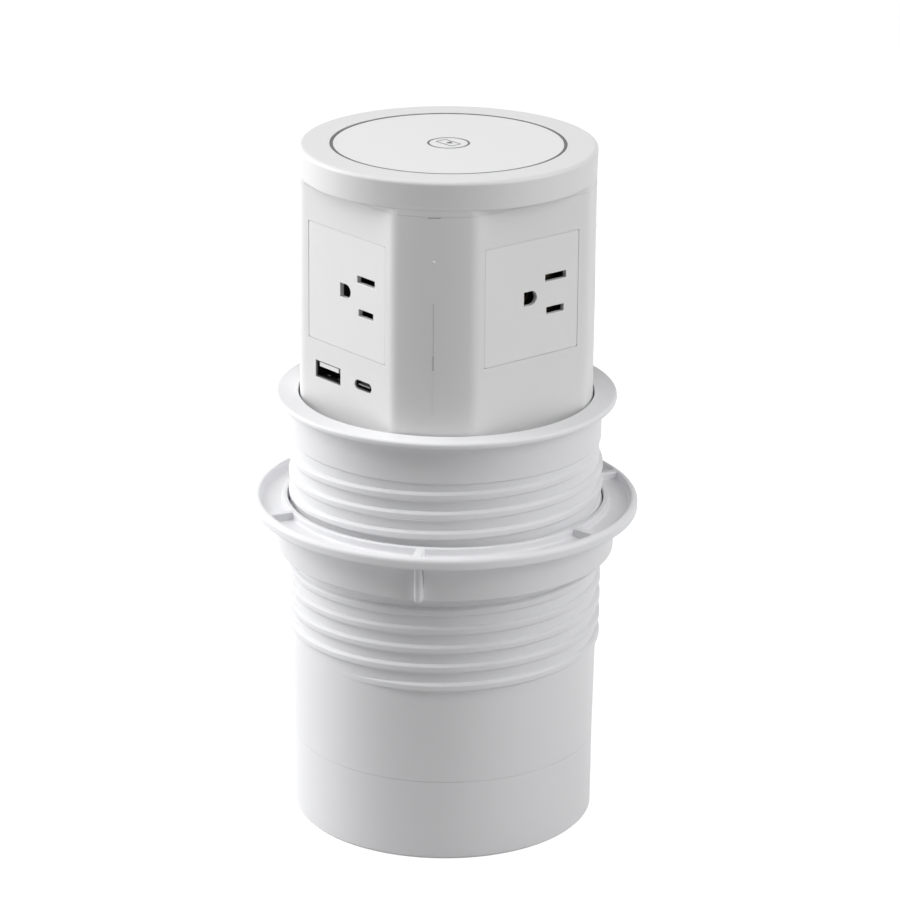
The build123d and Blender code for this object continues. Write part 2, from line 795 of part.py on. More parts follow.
def clamp_nut():
    """The clamp nut: a flange with a channel and ribs on top, a skirt below and grip fins outside it."""
    bore = clamp_bore_radius
    top = nut_top_z
    channel_in = bore + clamp_inner_rim_width
    channel_out = clamp_flange_radius - clamp_rim_width
    floor = top - clamp_channel_depth
    nut = turned([
        (bore, nut_bottom_z), (clamp_skirt_radius, nut_bottom_z),
        (clamp_skirt_radius, nut_under_z), (clamp_flange_radius, nut_under_z), (clamp_flange_radius, top),
        (channel_out, top), (channel_out, floor), (channel_in, floor), (channel_in, top), (bore, top),
    ], rounds=[(2, clamp_root_round), (4, clamp_edge_round), (6, clamp_root_round)])
    rib_length = channel_out - channel_in + clamp_inner_rim_width
    middle = (channel_out + channel_in) / 2
    rib = block(rib_length, clamp_rib_width, floor - clamp_rim_width / 2, top, x=middle)
    step = 360 / clamp_rib_count
    for index in range(clamp_rib_count):
        nut = nut + Rot(0, 0, clamp_rib_angle + index * step) * rib
    reach = clamp_skirt_radius + clamp_fin_reach
    inside = clamp_skirt_radius - clamp_inner_rim_width
    fin = Plane.XZ * make_face(Polyline(
        (inside, nut_under_z + overrun), (reach + clamp_fin_reach, nut_under_z + overrun),
        (reach, nut_under_z - clamp_fin_reach), (reach, nut_bottom_z + clamp_fin_chamfer),
        (reach - clamp_fin_chamfer, nut_bottom_z), (inside, nut_bottom_z), close=True))
    fin = extrude(fin, clamp_fin_width / 2, both=True)
    for index in range(clamp_fin_count):
        nut = nut + Rot(0, 0, clamp_rib_angle + index * 360 / clamp_fin_count) * fin
    return nut


side_names = ["front", "right", "back", "left"]
parts = {
    "threaded_barrel": threaded_barrel(),
    "bottom_cup": bottom_cup(),
    "cord_gland": cord_gland(),
    "drive_plate": drive_plate(),
    "plate_screws": plate_screws(),
    "screw_bearing": screw_bearing(),
    "gearbox": gearbox(),
    "drive_motor": drive_motor(),
    "lead_screw": lead_screw(),
    "guide_rod_right": guide_rod(rod_angles[0]),
    "guide_rod_left": guide_rod(rod_angles[1]),
    "control_board": control_board(),
    "terminal_block": terminal_block(),
    "tower_shell": tower_shell(),
    "tower_base": tower_base(),
    "tower_base_screws": base_screws(),
    "drive_nut": drive_nut(),
    "drive_nut_screws": nut_screws(),
    "guide_bush_right": guide_bush(rod_angles[0]),
    "guide_bush_left": guide_bush(rod_angles[1]),
    "usb_a_shell": usb_shell(0),
    "usb_a_tongue": usb_a_tongue(),
    "usb_c_shell": usb_shell(1),
    "usb_c_tongue": usb_c_tongue(),
    "usb_board": usb_board(),
    "power_board": power_board(),
    "top_cap": top_cap(),
    "cap_screws": cap_screws(),
    "charging_pad": charging_pad(),
    "pad_ring": pad_ring(),
    "clamp_nut": clamp_nut(),
}
parts.update(charging_stack())
for number, name in enumerate(side_names):
    parts["socket_face_" + name] = socket_face(number)
    parts["socket_housing_" + name] = socket_housing(number)
    parts["socket_contacts_" + name] = socket_contacts(number)

os.makedirs("parts", exist_ok=True)
for name, shape in parts.items():
    solid = Compound(children=shape) if isinstance(shape, list) else shape
    export_step(solid, os.path.join("parts", name + ".step"))
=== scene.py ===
"""Looks of a raised pop up desk socket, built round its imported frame.

Every piece is modelled in millimetres in the frame of the CAD model and brought to metres when it is
finished. The USB face looks along -Y, and +Z runs up along the lift.
"""

import json
import logging
import math
from collections.abc import Iterable, Sequence
from dataclasses import dataclass
from enum import Enum

import bmesh
import bpy
from mathutils import Matrix, Vector


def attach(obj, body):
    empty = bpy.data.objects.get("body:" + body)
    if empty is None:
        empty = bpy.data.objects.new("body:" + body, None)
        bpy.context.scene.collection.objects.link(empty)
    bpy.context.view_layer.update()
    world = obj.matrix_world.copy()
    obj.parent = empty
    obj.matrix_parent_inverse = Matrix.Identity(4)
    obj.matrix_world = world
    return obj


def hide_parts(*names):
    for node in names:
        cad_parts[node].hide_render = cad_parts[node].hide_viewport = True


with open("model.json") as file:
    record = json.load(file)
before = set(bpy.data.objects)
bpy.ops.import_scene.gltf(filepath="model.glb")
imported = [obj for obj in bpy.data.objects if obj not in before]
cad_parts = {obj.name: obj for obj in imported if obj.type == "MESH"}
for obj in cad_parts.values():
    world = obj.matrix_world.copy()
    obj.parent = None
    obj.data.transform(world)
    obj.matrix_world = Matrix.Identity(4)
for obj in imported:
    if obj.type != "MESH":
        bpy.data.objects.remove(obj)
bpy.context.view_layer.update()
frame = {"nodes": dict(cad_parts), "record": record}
LOG = logging.getLogger("pop_up_socket")

MM = 0.001
SMOOTH_ANGLE = math.radians(33.0)
TURNED_STEPS = 300
EDGE_STEPS = 3
WELD = 1e-5
# How far from the ends of a long run the points lie that hold it flat, in millimetres
HOLD = 0.12
# The corners of the column, in degrees from +X
CORNERS = (-45.0, 45.0, 135.0, -135.0)
# Linear colour of dust
DUST = (0.62, 0.6, 0.57)

Point = tuple[float, float]
Corner = tuple[float, float, float]
Colour = tuple[float, float, float]


class Body(str, Enum):
    """The CAD bodies that pieces ride on."""

    BASE = "base"
    TOWER = "tower"
    SCREW = "screw"
    NUT = "nut"


class Side(Enum):
    """The four faces of the tower, by quarter turns from the USB face."""

    FRONT = 0
    RIGHT = 1
    BACK = 2
    LEFT = 3

    @property
    def turn(self) -> Matrix:
        """The turn about Z that carries the front face to this one."""
        return Matrix.Rotation(self.value * math.pi / 2, 4, "Z")


# Mesh helpers

def rounded(corners: Sequence[Corner], steps: int = 6) -> list[Point]:
    """Round the corners of a closed outline and hold its long runs flat.

    Args:
        corners: (x, y, radius) of each corner in order, in millimetres.
        steps: how many chords each arc gets.

    Returns:
        The outline's points, with two points close to the ends of each long straight run.
    """
    runs: list[list[Point]] = []
    count = len(corners)
    for index, (x, y, radius) in enumerate(corners):
        here = Vector((x, y))
        if radius <= 0:
            runs.append([(x, y)])
            continue
        before = (Vector(corners[index - 1][:2]) - here).normalized()
        after = (Vector(corners[(index + 1) % count][:2]) - here).normalized()
        half = math.acos(max(-1.0, min(1.0, before.dot(after)))) / 2
        centre = here + (before + after).normalized() * radius / math.sin(half)
        start = here + before * radius / math.tan(half) - centre
        end = here + after * radius / math.tan(half) - centre
        sweep = math.atan2(start.x * end.y - start.y * end.x, start.dot(end))
        arc = []
        for step in range(steps + 1):
            turned = Matrix.Rotation(sweep * step / steps, 2) @ start
            arc.append((centre.x + turned.x, centre.y + turned.y))
        runs.append(arc)
    points: list[Point] = []
    for index, run in enumerate(runs):
        points.extend(run)
        start, end = Vector(run[-1]), Vector(runs[(index + 1) % count][0])
        length = (end - start).length
        if length > 4 * HOLD:
            points.append(tuple(start.lerp(end, HOLD / length)))
            points.append(tuple(end.lerp(start, HOLD / length)))
    return points


def lathe(outline: Sequence[Point], segments: int = TURNED_STEPS) -> bpy.types.Mesh:
    """Turn a closed outline of (radius, height) about Z.

    Args:
        outline: the section's points in order, in millimetres. Points on the axis become poles.
        segments: how many steps the full turn takes.

    Returns:
        A closed mesh with outward faces, in millimetres.
    """
    shape = bmesh.new()
    rings: list[list[bmesh.types.BMVert]] = []
    for radius, height in outline:
        if radius < WELD:
            rings.append([shape.verts.new((0.0, 0.0, height))])
            continue
        ring = []
        for step in range(segments):
            angle = math.tau * step / segments
            ring.append(shape.verts.new((radius * math.cos(angle), radius * math.sin(angle), height)))
        rings.append(ring)
    for index, ring in enumerate(rings):
        after = rings[(index + 1) % len(rings)]
        if len(ring) == 1 and len(after) == 1:
            continue
        for step in range(segments):
            nxt = (step + 1) % segments
            loop = (ring[step % len(ring)], after[step % len(after)],
                    after[nxt % len(after)], ring[nxt % len(ring)])
            shape.faces.new(list(dict.fromkeys(loop)))
    return to_mesh(shape)


def to_mesh(shape: bmesh.types.BMesh) -> bpy.types.Mesh:
    """Close a bmesh into a plain mesh with outward faces.

    Args:
        shape: the bmesh, which is freed.

    Returns:
        The new mesh.
    """
    bmesh.ops.remove_doubles(shape, verts=shape.verts, dist=WELD)
    bmesh.ops.recalc_face_normals(shape, faces=shape.faces)
    mesh = bpy.data.meshes.new("form")
    shape.to_mesh(mesh)
    shape.free()
    return mesh


def prism(outline: Sequence[Point], low: float, high: float) -> bpy.types.Mesh:
    """Raise a closed outline between two heights, with both ends closed.

    Args:
        outline: the section's points in order, in millimetres.
        low: height of the lower end.
        high: height of the upper end.

    Returns:
        A closed mesh in millimetres.
    """
    shape = bmesh.new()
    bottom = [shape.verts.new((x, y, low)) for x, y in outline]
    top = [shape.verts.new((x, y, high)) for x, y in outline]
    count = len(outline)
    for index in range(count):
        nxt = (index + 1) % count
        shape.faces.new((bottom[index], bottom[nxt], top[nxt], top[index]))
    shape.faces.new(bottom)
    shape.faces.new(top)
    return to_mesh(shape)


def inset(outline: Sequence[Point], depth: float) -> list[Point]:
    """Shift an outline to the left of its own travel, which is into the material.

    Args:
        outline: a closed outline, counter-clockwise round material and clockwise round a hole.
        depth: how far it shifts, in millimetres.

    Returns:
        The shifted points, with mitred corners.
    """
    count = len(outline)
    points = []
    for index, point in enumerate(outline):
        here = Vector(point)
        first = (here - Vector(outline[index - 1])).normalized()
        second = (Vector(outline[(index + 1) % count]) - here).normalized()
        left, right = Vector((-first.y, first.x)), Vector((-second.y, second.x))
        points.append(tuple(here + (left + right) * depth / (1.0 + left.dot(right))))
    return points


def plate(outlines: Sequence[Sequence[Point]], low: float, high: float, edge: float) -> bpy.types.Mesh:
    """Make a flat plate with holes whose edges are all softened alike.

    Args:
        outlines: the outer outline counter-clockwise, then each hole clockwise, in millimetres.
        low: height of the lower face.
        high: height of the upper face.
        edge: radius of every edge, at most 0.8 of the outline's own corner radii.

    Returns:
        A closed mesh in millimetres, lying in the XY plane.
    """
    arc = [math.radians(90.0 * step / EDGE_STEPS) for step in range(EDGE_STEPS + 1)] if edge > 0 else []
    rise = [(edge * (1 - math.sin(a)), edge * (1 - math.cos(a))) for a in arc]
    hold = edge + min(HOLD, edge / 4)
    section = [(hold, 0.0), *rise, (0.0, hold)] if rise else [(0.0, 0.0)]
    rings = [(depth, low + up) for depth, up in section]
    rings += [(depth, high - up) for depth, up in section[::-1]]
    shape = bmesh.new()
    rims: tuple[list[bmesh.types.BMEdge], list[bmesh.types.BMEdge]] = ([], [])
    for outline in outlines:
        loops = [[shape.verts.new((x, y, z)) for x, y in inset(outline, depth)] for depth, z in rings]
        for lower, upper in zip(loops, loops[1:]):
            for index in range(len(lower)):
                nxt = (index + 1) % len(lower)
                shape.faces.new((lower[index], lower[nxt], upper[nxt], upper[index]))
        for rim, loop in zip(rims, (loops[0], loops[-1])):
            if len(outlines) == 1:
                shape.faces.new(loop)
            else:
                rim.extend(shape.edges.get((loop[index - 1], loop[index])) for index in range(len(loop)))
    for rim in rims:
        if rim:
            bmesh.ops.triangle_fill(shape, use_beauty=True, use_dissolve=False, edges=rim)
    return to_mesh(shape)


def added(name: str, data: bpy.types.ID) -> bpy.types.Object:
    """Add an object to the scene.

    Args:
        name: the object's name.
        data: its mesh, lamp or camera.

    Returns:
        The new object.
    """
    thing = bpy.data.objects.new(name, data)
    bpy.context.scene.collection.objects.link(thing)
    return thing


def evaluated(holder: bpy.types.Object) -> bpy.types.Mesh:
    """Take the evaluated mesh of an object and remove the object.

    Args:
        holder: an object that is linked to the scene.

    Returns:
        Its mesh with curves filled and modifiers applied.
    """
    graph = bpy.context.evaluated_depsgraph_get()
    mesh = bpy.data.meshes.new_from_object(holder.evaluated_get(graph), depsgraph=graph)
    bpy.data.objects.remove(holder)
    return mesh


def merged(parts: Iterable[bpy.types.Mesh]) -> bpy.types.Mesh:
    """Put several meshes together in one.

    Args:
        parts: the meshes, which are removed.

    Returns:
        One mesh that holds them all.
    """
    shape = bmesh.new()
    for part in parts:
        shape.from_mesh(part)
        bpy.data.meshes.remove(part)
    mesh = bpy.data.meshes.new("form")
    shape.to_mesh(mesh)
    shape.free()
    return mesh


def moved(mesh: bpy.types.Mesh, place: Matrix) -> bpy.types.Mesh:
    """Carry a mesh to its place and return it."""
    mesh.transform(place)
    return mesh


def painted(mesh: bpy.types.Mesh, slot: int) -> bpy.types.Mesh:
    """Give all faces of a mesh one of its piece's material slots.

    Args:
        mesh: the mesh.
        slot: the slot's number.

    Returns:
        The same mesh.
    """
    while len(mesh.materials) <= slot:
        mesh.materials.append(None)
    mesh.polygons.foreach_set("material_index", [slot] * len(mesh.polygons))
    return mesh


def at(x: float, y: float, z: float) -> Matrix:
    """A shift, in millimetres."""
    return Matrix.Translation((x, y, z))


def polar(angle: float, radius: float) -> Matrix:
    """A place on a circle about Z, turned to face outward. The angle is in degrees from +X."""
    return Matrix.Rotation(math.radians(angle), 4, "Z") @ at(radius, 0.0, 0.0)


def on_front(offset: float, height: float, depth: float) -> Matrix:
    """The place on the -Y side where X runs right, Y runs up and Z points out, at a depth from the axis."""
    return at(offset, -depth, height) @ Matrix.Rotation(math.pi / 2, 4, "X")


def rectangle(width: float, height: float, radius: float, x: float = 0.0, y: float = 0.0) -> list[Point]:
    """The outline of a rectangle with rounded corners, about a centre.

    Args:
        width: its width in millimetres.
        height: its height.
        radius: radius of its corners.
        x: its centre's place across.
        y: its centre's place up.

    Returns:
        The outline, counter-clockwise.
    """
    right, top = width / 2, height / 2
    corners = [(x - right, y - top), (x + right, y - top), (x + right, y + top), (x - right, y + top)]
    return rounded([(cx, cy, radius) for cx, cy in corners])


def circle(radius: float, steps: int) -> list[Point]:
    """The outline of a circle about the origin."""
    angles = [math.tau * step / steps for step in range(steps)]
    return [(radius * math.cos(a), radius * math.sin(a)) for a in angles]


def column_outline(radius: float, flat: float, corner: float, steps: int = 10) -> list[Point]:
    """The tower's section: round, with a flat on each side.

    Args:
        radius: radius of the round stretches.
        flat: distance of the flats from the axis.
        corner: radius that eases a flat into the round.
        steps: how many chords each arc gets.

    Returns:
        The outline counter-clockwise, with each flat held straight near its ends.
    """
    rise = math.sqrt((radius - corner) ** 2 - (flat - corner) ** 2)
    tangent = math.atan2(rise, flat - corner)
    arcs = (((flat - corner, rise), corner, 0.0, tangent),
            ((0.0, 0.0), radius, tangent, math.pi / 2 - tangent),
            ((rise, flat - corner), corner, math.pi / 2 - tangent, math.pi / 2))
    quarter = [(flat, -rise), (flat, HOLD - rise), (flat, rise - HOLD)]
    for (x, y), size, first, last in arcs:
        for step in range(steps):
            angle = first + (last - first) * step / steps
            quarter.append((x + size * math.cos(angle), y + size * math.sin(angle)))
    turns = [Matrix.Rotation(side * math.pi / 2, 2) for side in range(4)]
    return [tuple(turn @ Vector(point)) for turn in turns for point in quarter]


@dataclass
class Piece:
    """A finished piece on its way into the scene.

    Attributes:
        name: the piece's own name.
        body: the CAD body that it rides on.
        slot: the record's material slot.
        replaces: CAD nodes that it stands for.
    """

    name: str
    body: Body
    slot: str
    replaces: tuple[str, ...] = ()

    def place(self, mesh: bpy.types.Mesh, *materials: bpy.types.Material) -> bpy.types.Object:
        """Bring a mesh to metres, smooth it, dress it and let it ride on its body.

        Args:
            mesh: the form in millimetres.
            *materials: the materials of its slots.

        Returns:
            The new object.
        """
        mesh.transform(Matrix.Scale(MM, 4))
        mesh.name = self.name
        mesh.shade_smooth()
        mesh.set_sharp_from_angle(angle=SMOOTH_ANGLE)
        while len(mesh.materials) < len(materials):
            mesh.materials.append(None)
        for slot, material in enumerate(materials):
            mesh.materials[slot] = material
        thing = added(self.name, mesh)
        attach(thing, self.body.value)
        if self.replaces:
            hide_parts(*self.replaces)
        LOG.info("%s: %d faces on %s", self.name, len(mesh.polygons), self.body.value)
        return thing


def cad_form(node: str) -> bpy.types.Mesh:
    """Copy the mesh of a CAD node, in millimetres, with its seams closed.

    Args:
        node: the node's name.

    Returns:
        A closed mesh that can be merged with others.
    """
    data = frame["nodes"][node].data
    shape = bmesh.new()
    points = [shape.verts.new(vertex.co / MM) for vertex in data.vertices]
    for face in data.polygons:
        shape.faces.new([points[index] for index in face.vertices])
    return to_mesh(shape)


def dress(node: str, material: bpy.types.Material) -> None:
    """Give a carried-over CAD node its material.

    Args:
        node: the node's name.
        material: the material.
    """
    mesh = frame["nodes"][node].data
    mesh.materials.clear()
    mesh.materials.append(material)
    LOG.info("%s: carried over, in %s", node, material.name)


# Node trees

class NodeBuilder:
    """A small builder for a node tree."""

    def __init__(self, tree: bpy.types.NodeTree) -> None:
        """Keep the tree that gets the nodes."""
        self.tree = tree

    def node(self, kind: str, **properties: object) -> bpy.types.Node:
        """Add a node.

        Args:
            kind: the node's type.
            **properties: the properties to set on it.

        Returns:
            The new node.
        """
        made = self.tree.nodes.new(kind)
        for label, value in properties.items():
            setattr(made, label, value)
        return made

    def feed(self, source: object, target: bpy.types.NodeSocket) -> None:
        """Link a socket to another, or give that one a plain value.

        Args:
            source: the socket or the value.
            target: the socket that takes it.
        """
        if isinstance(source, bpy.types.NodeSocket):
            self.tree.links.new(source, target)
        else:
            target.default_value = source

    def math(self, operation: str, first: object, second: object = 0.0) -> bpy.types.NodeSocket:
        """Add a Math node.

        Args:
            operation: what it works out.
            first: what its first socket takes.
            second: what its second socket takes.

        Returns:
            Its result.
        """
        made = self.node("ShaderNodeMath", operation=operation)
        self.feed(first, made.inputs[0])
        self.feed(second, made.inputs[1])
        return made.outputs[0]

    def spread(self, value: object, low: object, high: object) -> bpy.types.NodeSocket:
        """Map 0 to 1 onto a range.

        Args:
            value: what is mapped.
            low: what 0 becomes.
            high: what 1 becomes.

        Returns:
            The mapped value.
        """
        made = self.node("ShaderNodeMapRange")
        self.feed(value, made.inputs["Value"])
        self.feed(low, made.inputs["To Min"])
        self.feed(high, made.inputs["To Max"])
        return made.outputs["Result"]


class GroupBuilder(NodeBuilder):
    """A builder for a node group with named sockets."""

    def __init__(self, name: str, kind: str, inputs: Sequence[tuple[str, str, object]],
                 outputs: Sequence[tuple[str, str]]) -> None:
        """Start the group with its sockets.

        Args:
            name: the group's name.
            kind: the type of its tree.
            inputs: name, socket type and default of each input.
            outputs: name and socket type of each output.
        """
        super().__init__(bpy.data.node_groups.new(name, kind))
        for label, socket_type, default in inputs:
            socket = self.tree.interface.new_socket(label, in_out="INPUT", socket_type=socket_type)
            if default is not None:
                socket.default_value = default
        for label, socket_type in outputs:
            self.tree.interface.new_socket(label, in_out="OUTPUT", socket_type=socket_type)
        self.entry = self.node("NodeGroupInput")
        self.exit = self.node("NodeGroupOutput")

    def feed(self, source: object, target: bpy.types.NodeSocket) -> None:
        """Link a socket or a named input to a socket, or give that one a plain value.

        Args:
            source: the socket, the input's name or the value.
            target: the socket that takes it.
        """
        super().feed(self.entry.outputs[source] if isinstance(source, str) else source, target)


# Geometry Nodes

class GeometryTree(GroupBuilder):
    """A builder for a Geometry Nodes tree that makes a mesh in one material."""

    def __init__(self, name: str, inputs: Sequence[tuple[str, str, object]]) -> None:
        """Start the tree with a geometry and a material socket.

        Args:
            name: the tree's name.
            inputs: name, socket type and default of each further input.
        """
        geometry = ("Geometry", "NodeSocketGeometry")
        material = ("Material", "NodeSocketMaterial", None)
        super().__init__(name, "GeometryNodeTree", [(*geometry, None), *inputs, material], [geometry])

    def finish(self, geometry: bpy.types.NodeSocket) -> bpy.types.GeometryNodeTree:
        """End the tree in Realize Instances and Set Material.

        Args:
            geometry: what the tree makes.

        Returns:
            The finished tree.
        """
        real = self.node("GeometryNodeRealizeInstances")
        paint = self.node("GeometryNodeSetMaterial")
        self.feed(geometry, real.inputs["Geometry"])
        self.feed(real.outputs["Geometry"], paint.inputs["Geometry"])
        self.feed("Material", paint.inputs["Material"])
        self.feed(paint.outputs["Geometry"], self.exit.inputs["Geometry"])
        return self.tree


def grown(tree: bpy.types.GeometryNodeTree, values: dict[str, object]) -> bpy.types.Mesh:
    """Run a Geometry Nodes tree with its inputs set and return the mesh that it makes.

    Args:
        tree: the tree.
        values: the value of each named input.

    Returns:
        A plain mesh with outward faces, in millimetres.
    """
    holder = added("grown", bpy.data.meshes.new("seed"))
    modifier = holder.modifiers.new("grow", "NODES")
    modifier.node_group = tree
    sockets = {item.name: item.identifier for item in tree.interface.items_tree if item.in_out == "INPUT"}
    for label, value in values.items():
        modifier[sockets[label]] = value
    mesh = evaluated(holder)
    shape = bmesh.new()
    shape.from_mesh(mesh)
    bpy.data.meshes.remove(mesh)
    return to_mesh(shape)


def helix_tree() -> bpy.types.GeometryNodeTree:
    """A right-handed helical ridge that rises out of the wall at one end and sinks back at the other.

    Returns:
        The tree.
    """
    build = GeometryTree("helical_ridge", [
        ("Radius", "NodeSocketFloat", 10.0),
        ("Pitch", "NodeSocketFloat", 2.0),
        ("Turns", "NodeSocketFloat", 5.0),
        ("Ridge Height", "NodeSocketFloat", 1.0),
        ("Foot Depth", "NodeSocketFloat", 0.3),
        ("Crest Width", "NodeSocketFloat", 0.5),
        ("Foot Width", "NodeSocketFloat", 1.5),
        ("Crest Round", "NodeSocketFloat", 0.1),
        ("Crest Steps", "NodeSocketInt", 4),
        ("Run Out Turns", "NodeSocketFloat", 0.1),
        ("Steps per Turn", "NodeSocketInt", 120),
    ])
    spiral = build.node("GeometryNodeCurveSpiral")
    build.feed("Steps per Turn", spiral.inputs["Resolution"])
    build.feed("Turns", spiral.inputs["Rotations"])
    build.feed("Radius", spiral.inputs["Start Radius"])
    build.feed("Radius", spiral.inputs["End Radius"])
    build.feed(build.math("MULTIPLY", "Pitch", "Turns"), spiral.inputs["Height"])
    build.feed(True, spiral.inputs["Reverse"])
    upright = build.node("GeometryNodeSetCurveNormal", mode="Z_UP")
    build.feed(spiral.outputs["Curve"], upright.inputs["Curve"])
    share = build.math("DIVIDE", "Run Out Turns", "Turns")
    place = build.node("GeometryNodeSplineParameter").outputs["Factor"]
    nearest = build.math("MINIMUM", place, build.math("SUBTRACT", 1.0, place))
    rise = build.node("ShaderNodeMapRange", interpolation_type="SMOOTHSTEP")
    build.feed(nearest, rise.inputs["Value"])
    build.feed(share, rise.inputs["From Max"])
    build.feed(build.math("MULTIPLY", "Ridge Height", -1.08), rise.inputs["To Min"])
    build.feed(0.0, rise.inputs["To Max"])
    flat = build.node("ShaderNodeVectorMath", operation="MULTIPLY")
    build.feed(build.node("GeometryNodeInputPosition").outputs["Position"], flat.inputs[0])
    flat.inputs[1].default_value = (1.0, 1.0, 0.0)
    outward = build.node("ShaderNodeVectorMath", operation="NORMALIZE")
    build.feed(flat.outputs[0], outward.inputs[0])
    sunk = build.node("ShaderNodeVectorMath", operation="SCALE")
    build.feed(outward.outputs[0], sunk.inputs[0])
    build.feed(rise.outputs["Result"], sunk.inputs["Scale"])
    path = build.node("GeometryNodeSetPosition")
    build.feed(upright.outputs["Curve"], path.inputs["Geometry"])
    build.feed(sunk.outputs[0], path.inputs["Offset"])
    tall = build.math("ADD", "Ridge Height", "Foot Depth")
    section = build.node("GeometryNodeCurvePrimitiveQuadrilateral", mode="TRAPEZOID")
    build.feed("Foot Width", section.inputs["Bottom Width"])
    build.feed("Crest Width", section.inputs["Top Width"])
    build.feed(0.0, section.inputs["Offset"])
    build.feed(tall, section.inputs["Height"])
    eased = build.node("GeometryNodeFilletCurve", mode="POLY")
    build.feed(section.outputs["Curve"], eased.inputs["Curve"])
    build.feed("Crest Steps", eased.inputs["Count"])
    build.feed("Crest Round", eased.inputs["Radius"])
    turned = build.node("GeometryNodeTransform")
    build.feed(eased.outputs["Curve"], turned.inputs["Geometry"])
    turned.inputs["Rotation"].default_value = (0.0, 0.0, -math.pi / 2)
    shift = build.node("ShaderNodeCombineXYZ")
    middle = build.math("SUBTRACT", build.math("MULTIPLY", tall, 0.5), "Foot Depth")
    build.feed(middle, shift.inputs["X"])
    build.feed(shift.outputs["Vector"], turned.inputs["Translation"])
    sweep = build.node("GeometryNodeCurveToMesh")
    build.feed(path.outputs["Geometry"], sweep.inputs["Curve"])
    build.feed(turned.outputs["Geometry"], sweep.inputs["Profile Curve"])
    build.feed(True, sweep.inputs["Fill Caps"])
    return build.finish(sweep.outputs["Mesh"])


def ring_tree() -> bpy.types.GeometryNodeTree:
    """Copies of one object at equal steps round Z, each turned to face outward.

    Returns:
        The tree.
    """
    build = GeometryTree("round_the_axis", [
        ("Shape", "NodeSocketObject", None),
        ("Count", "NodeSocketInt", 3),
        ("Start Angle", "NodeSocketFloat", 0.0),
        ("Circle Radius", "NodeSocketFloat", 10.0),
    ])
    info = build.node("GeometryNodeObjectInfo")
    build.feed("Shape", info.inputs["Object"])
    points = build.node("GeometryNodePoints")
    build.feed("Count", points.inputs["Count"])
    step = build.math("DIVIDE", math.tau, "Count")
    number = build.node("GeometryNodeInputIndex").outputs["Index"]
    angle = build.math("ADD", build.math("MULTIPLY", number, step), "Start Angle")
    place = build.node("ShaderNodeCombineXYZ")
    build.feed(build.math("MULTIPLY", build.math("COSINE", angle), "Circle Radius"), place.inputs["X"])
    build.feed(build.math("MULTIPLY", build.math("SINE", angle), "Circle Radius"), place.inputs["Y"])
    put = build.node("GeometryNodeSetPosition")
    build.feed(points.outputs[0], put.inputs["Geometry"])
    build.feed(place.outputs["Vector"], put.inputs["Position"])
    turn = build.node("ShaderNodeCombineXYZ")
    build.feed(angle, turn.inputs["Z"])
    copies = build.node("GeometryNodeInstanceOnPoints")
    build.feed(put.outputs["Geometry"], copies.inputs["Points"])
    build.feed(info.outputs["Geometry"], copies.inputs["Instance"])
    build.feed(turn.outputs["Vector"], copies.inputs["Rotation"])
    return build.finish(copies.outputs["Instances"])


def coil_tree() -> bpy.types.GeometryNodeTree:
    """A flat spiral of round wire, wound side by side.

    Returns:
        The tree.
    """
    build = GeometryTree("flat_winding", [
        ("Inner Radius", "NodeSocketFloat", 10.0),
        ("Outer Radius", "NodeSocketFloat", 20.0),
        ("Wire", "NodeSocketFloat", 1.0),
        ("Wire Steps", "NodeSocketInt", 12),
        ("Steps per Turn", "NodeSocketInt", 72),
    ])
    spiral = build.node("GeometryNodeCurveSpiral")
    build.feed("Steps per Turn", spiral.inputs["Resolution"])
    width = build.math("SUBTRACT", "Outer Radius", "Inner Radius")
    build.feed(build.math("DIVIDE", width, "Wire"), spiral.inputs["Rotations"])
    build.feed("Inner Radius", spiral.inputs["Start Radius"])
    build.feed("Outer Radius", spiral.inputs["End Radius"])
    build.feed(0.0, spiral.inputs["Height"])
    section = build.node("GeometryNodeCurvePrimitiveCircle")
    build.feed("Wire Steps", section.inputs["Resolution"])
    build.feed(build.math("MULTIPLY", "Wire", 0.49), section.inputs["Radius"])
    sweep = build.node("GeometryNodeCurveToMesh")
    build.feed(spiral.outputs["Curve"], sweep.inputs["Curve"])
    build.feed(section.outputs["Curve"], sweep.inputs["Profile Curve"])
    build.feed(True, sweep.inputs["Fill Caps"])
    return build.finish(sweep.outputs["Mesh"])


class Grower:
    """The three Geometry Nodes trees, built once and used by every sub-assembly."""

    def __init__(self) -> None:
        """Build the trees."""
        self.helix = helix_tree()
        self.ring = ring_tree()
        self.coil = coil_tree()

    def winding(self, values: dict[str, object], height: float) -> bpy.types.Mesh:
        """Grow a flat spiral winding at a height."""
        return moved(grown(self.coil, values), at(0.0, 0.0, height))

    def thread(self, values: dict[str, object], start_z: float, start_angle: float) -> bpy.types.Mesh:
        """Grow a helical ridge and set its foot at a height and an angle in degrees from +X."""
        mesh = grown(self.helix, values)
        return moved(mesh, at(0.0, 0.0, start_z) @ Matrix.Rotation(math.radians(start_angle), 4, "Z"))

    def around(self, shape: bpy.types.Mesh, count: int, start_angle: float,
               radius: float = 0.0) -> bpy.types.Mesh:
        """Repeat a form round the axis.

        Args:
            shape: the form, facing +X at the origin, which is removed.
            count: how many copies.
            start_angle: the first copy's angle, in degrees from +X.
            radius: distance of the copies from the axis.

        Returns:
            One mesh with all the copies.
        """
        holder = added("shape", shape)
        mesh = grown(self.ring, {
            "Shape": holder, "Count": count,
            "Start Angle": math.radians(start_angle), "Circle Radius": radius,
        })
        bpy.data.objects.remove(holder)
        bpy.data.meshes.remove(shape)
        return mesh


# Finishes

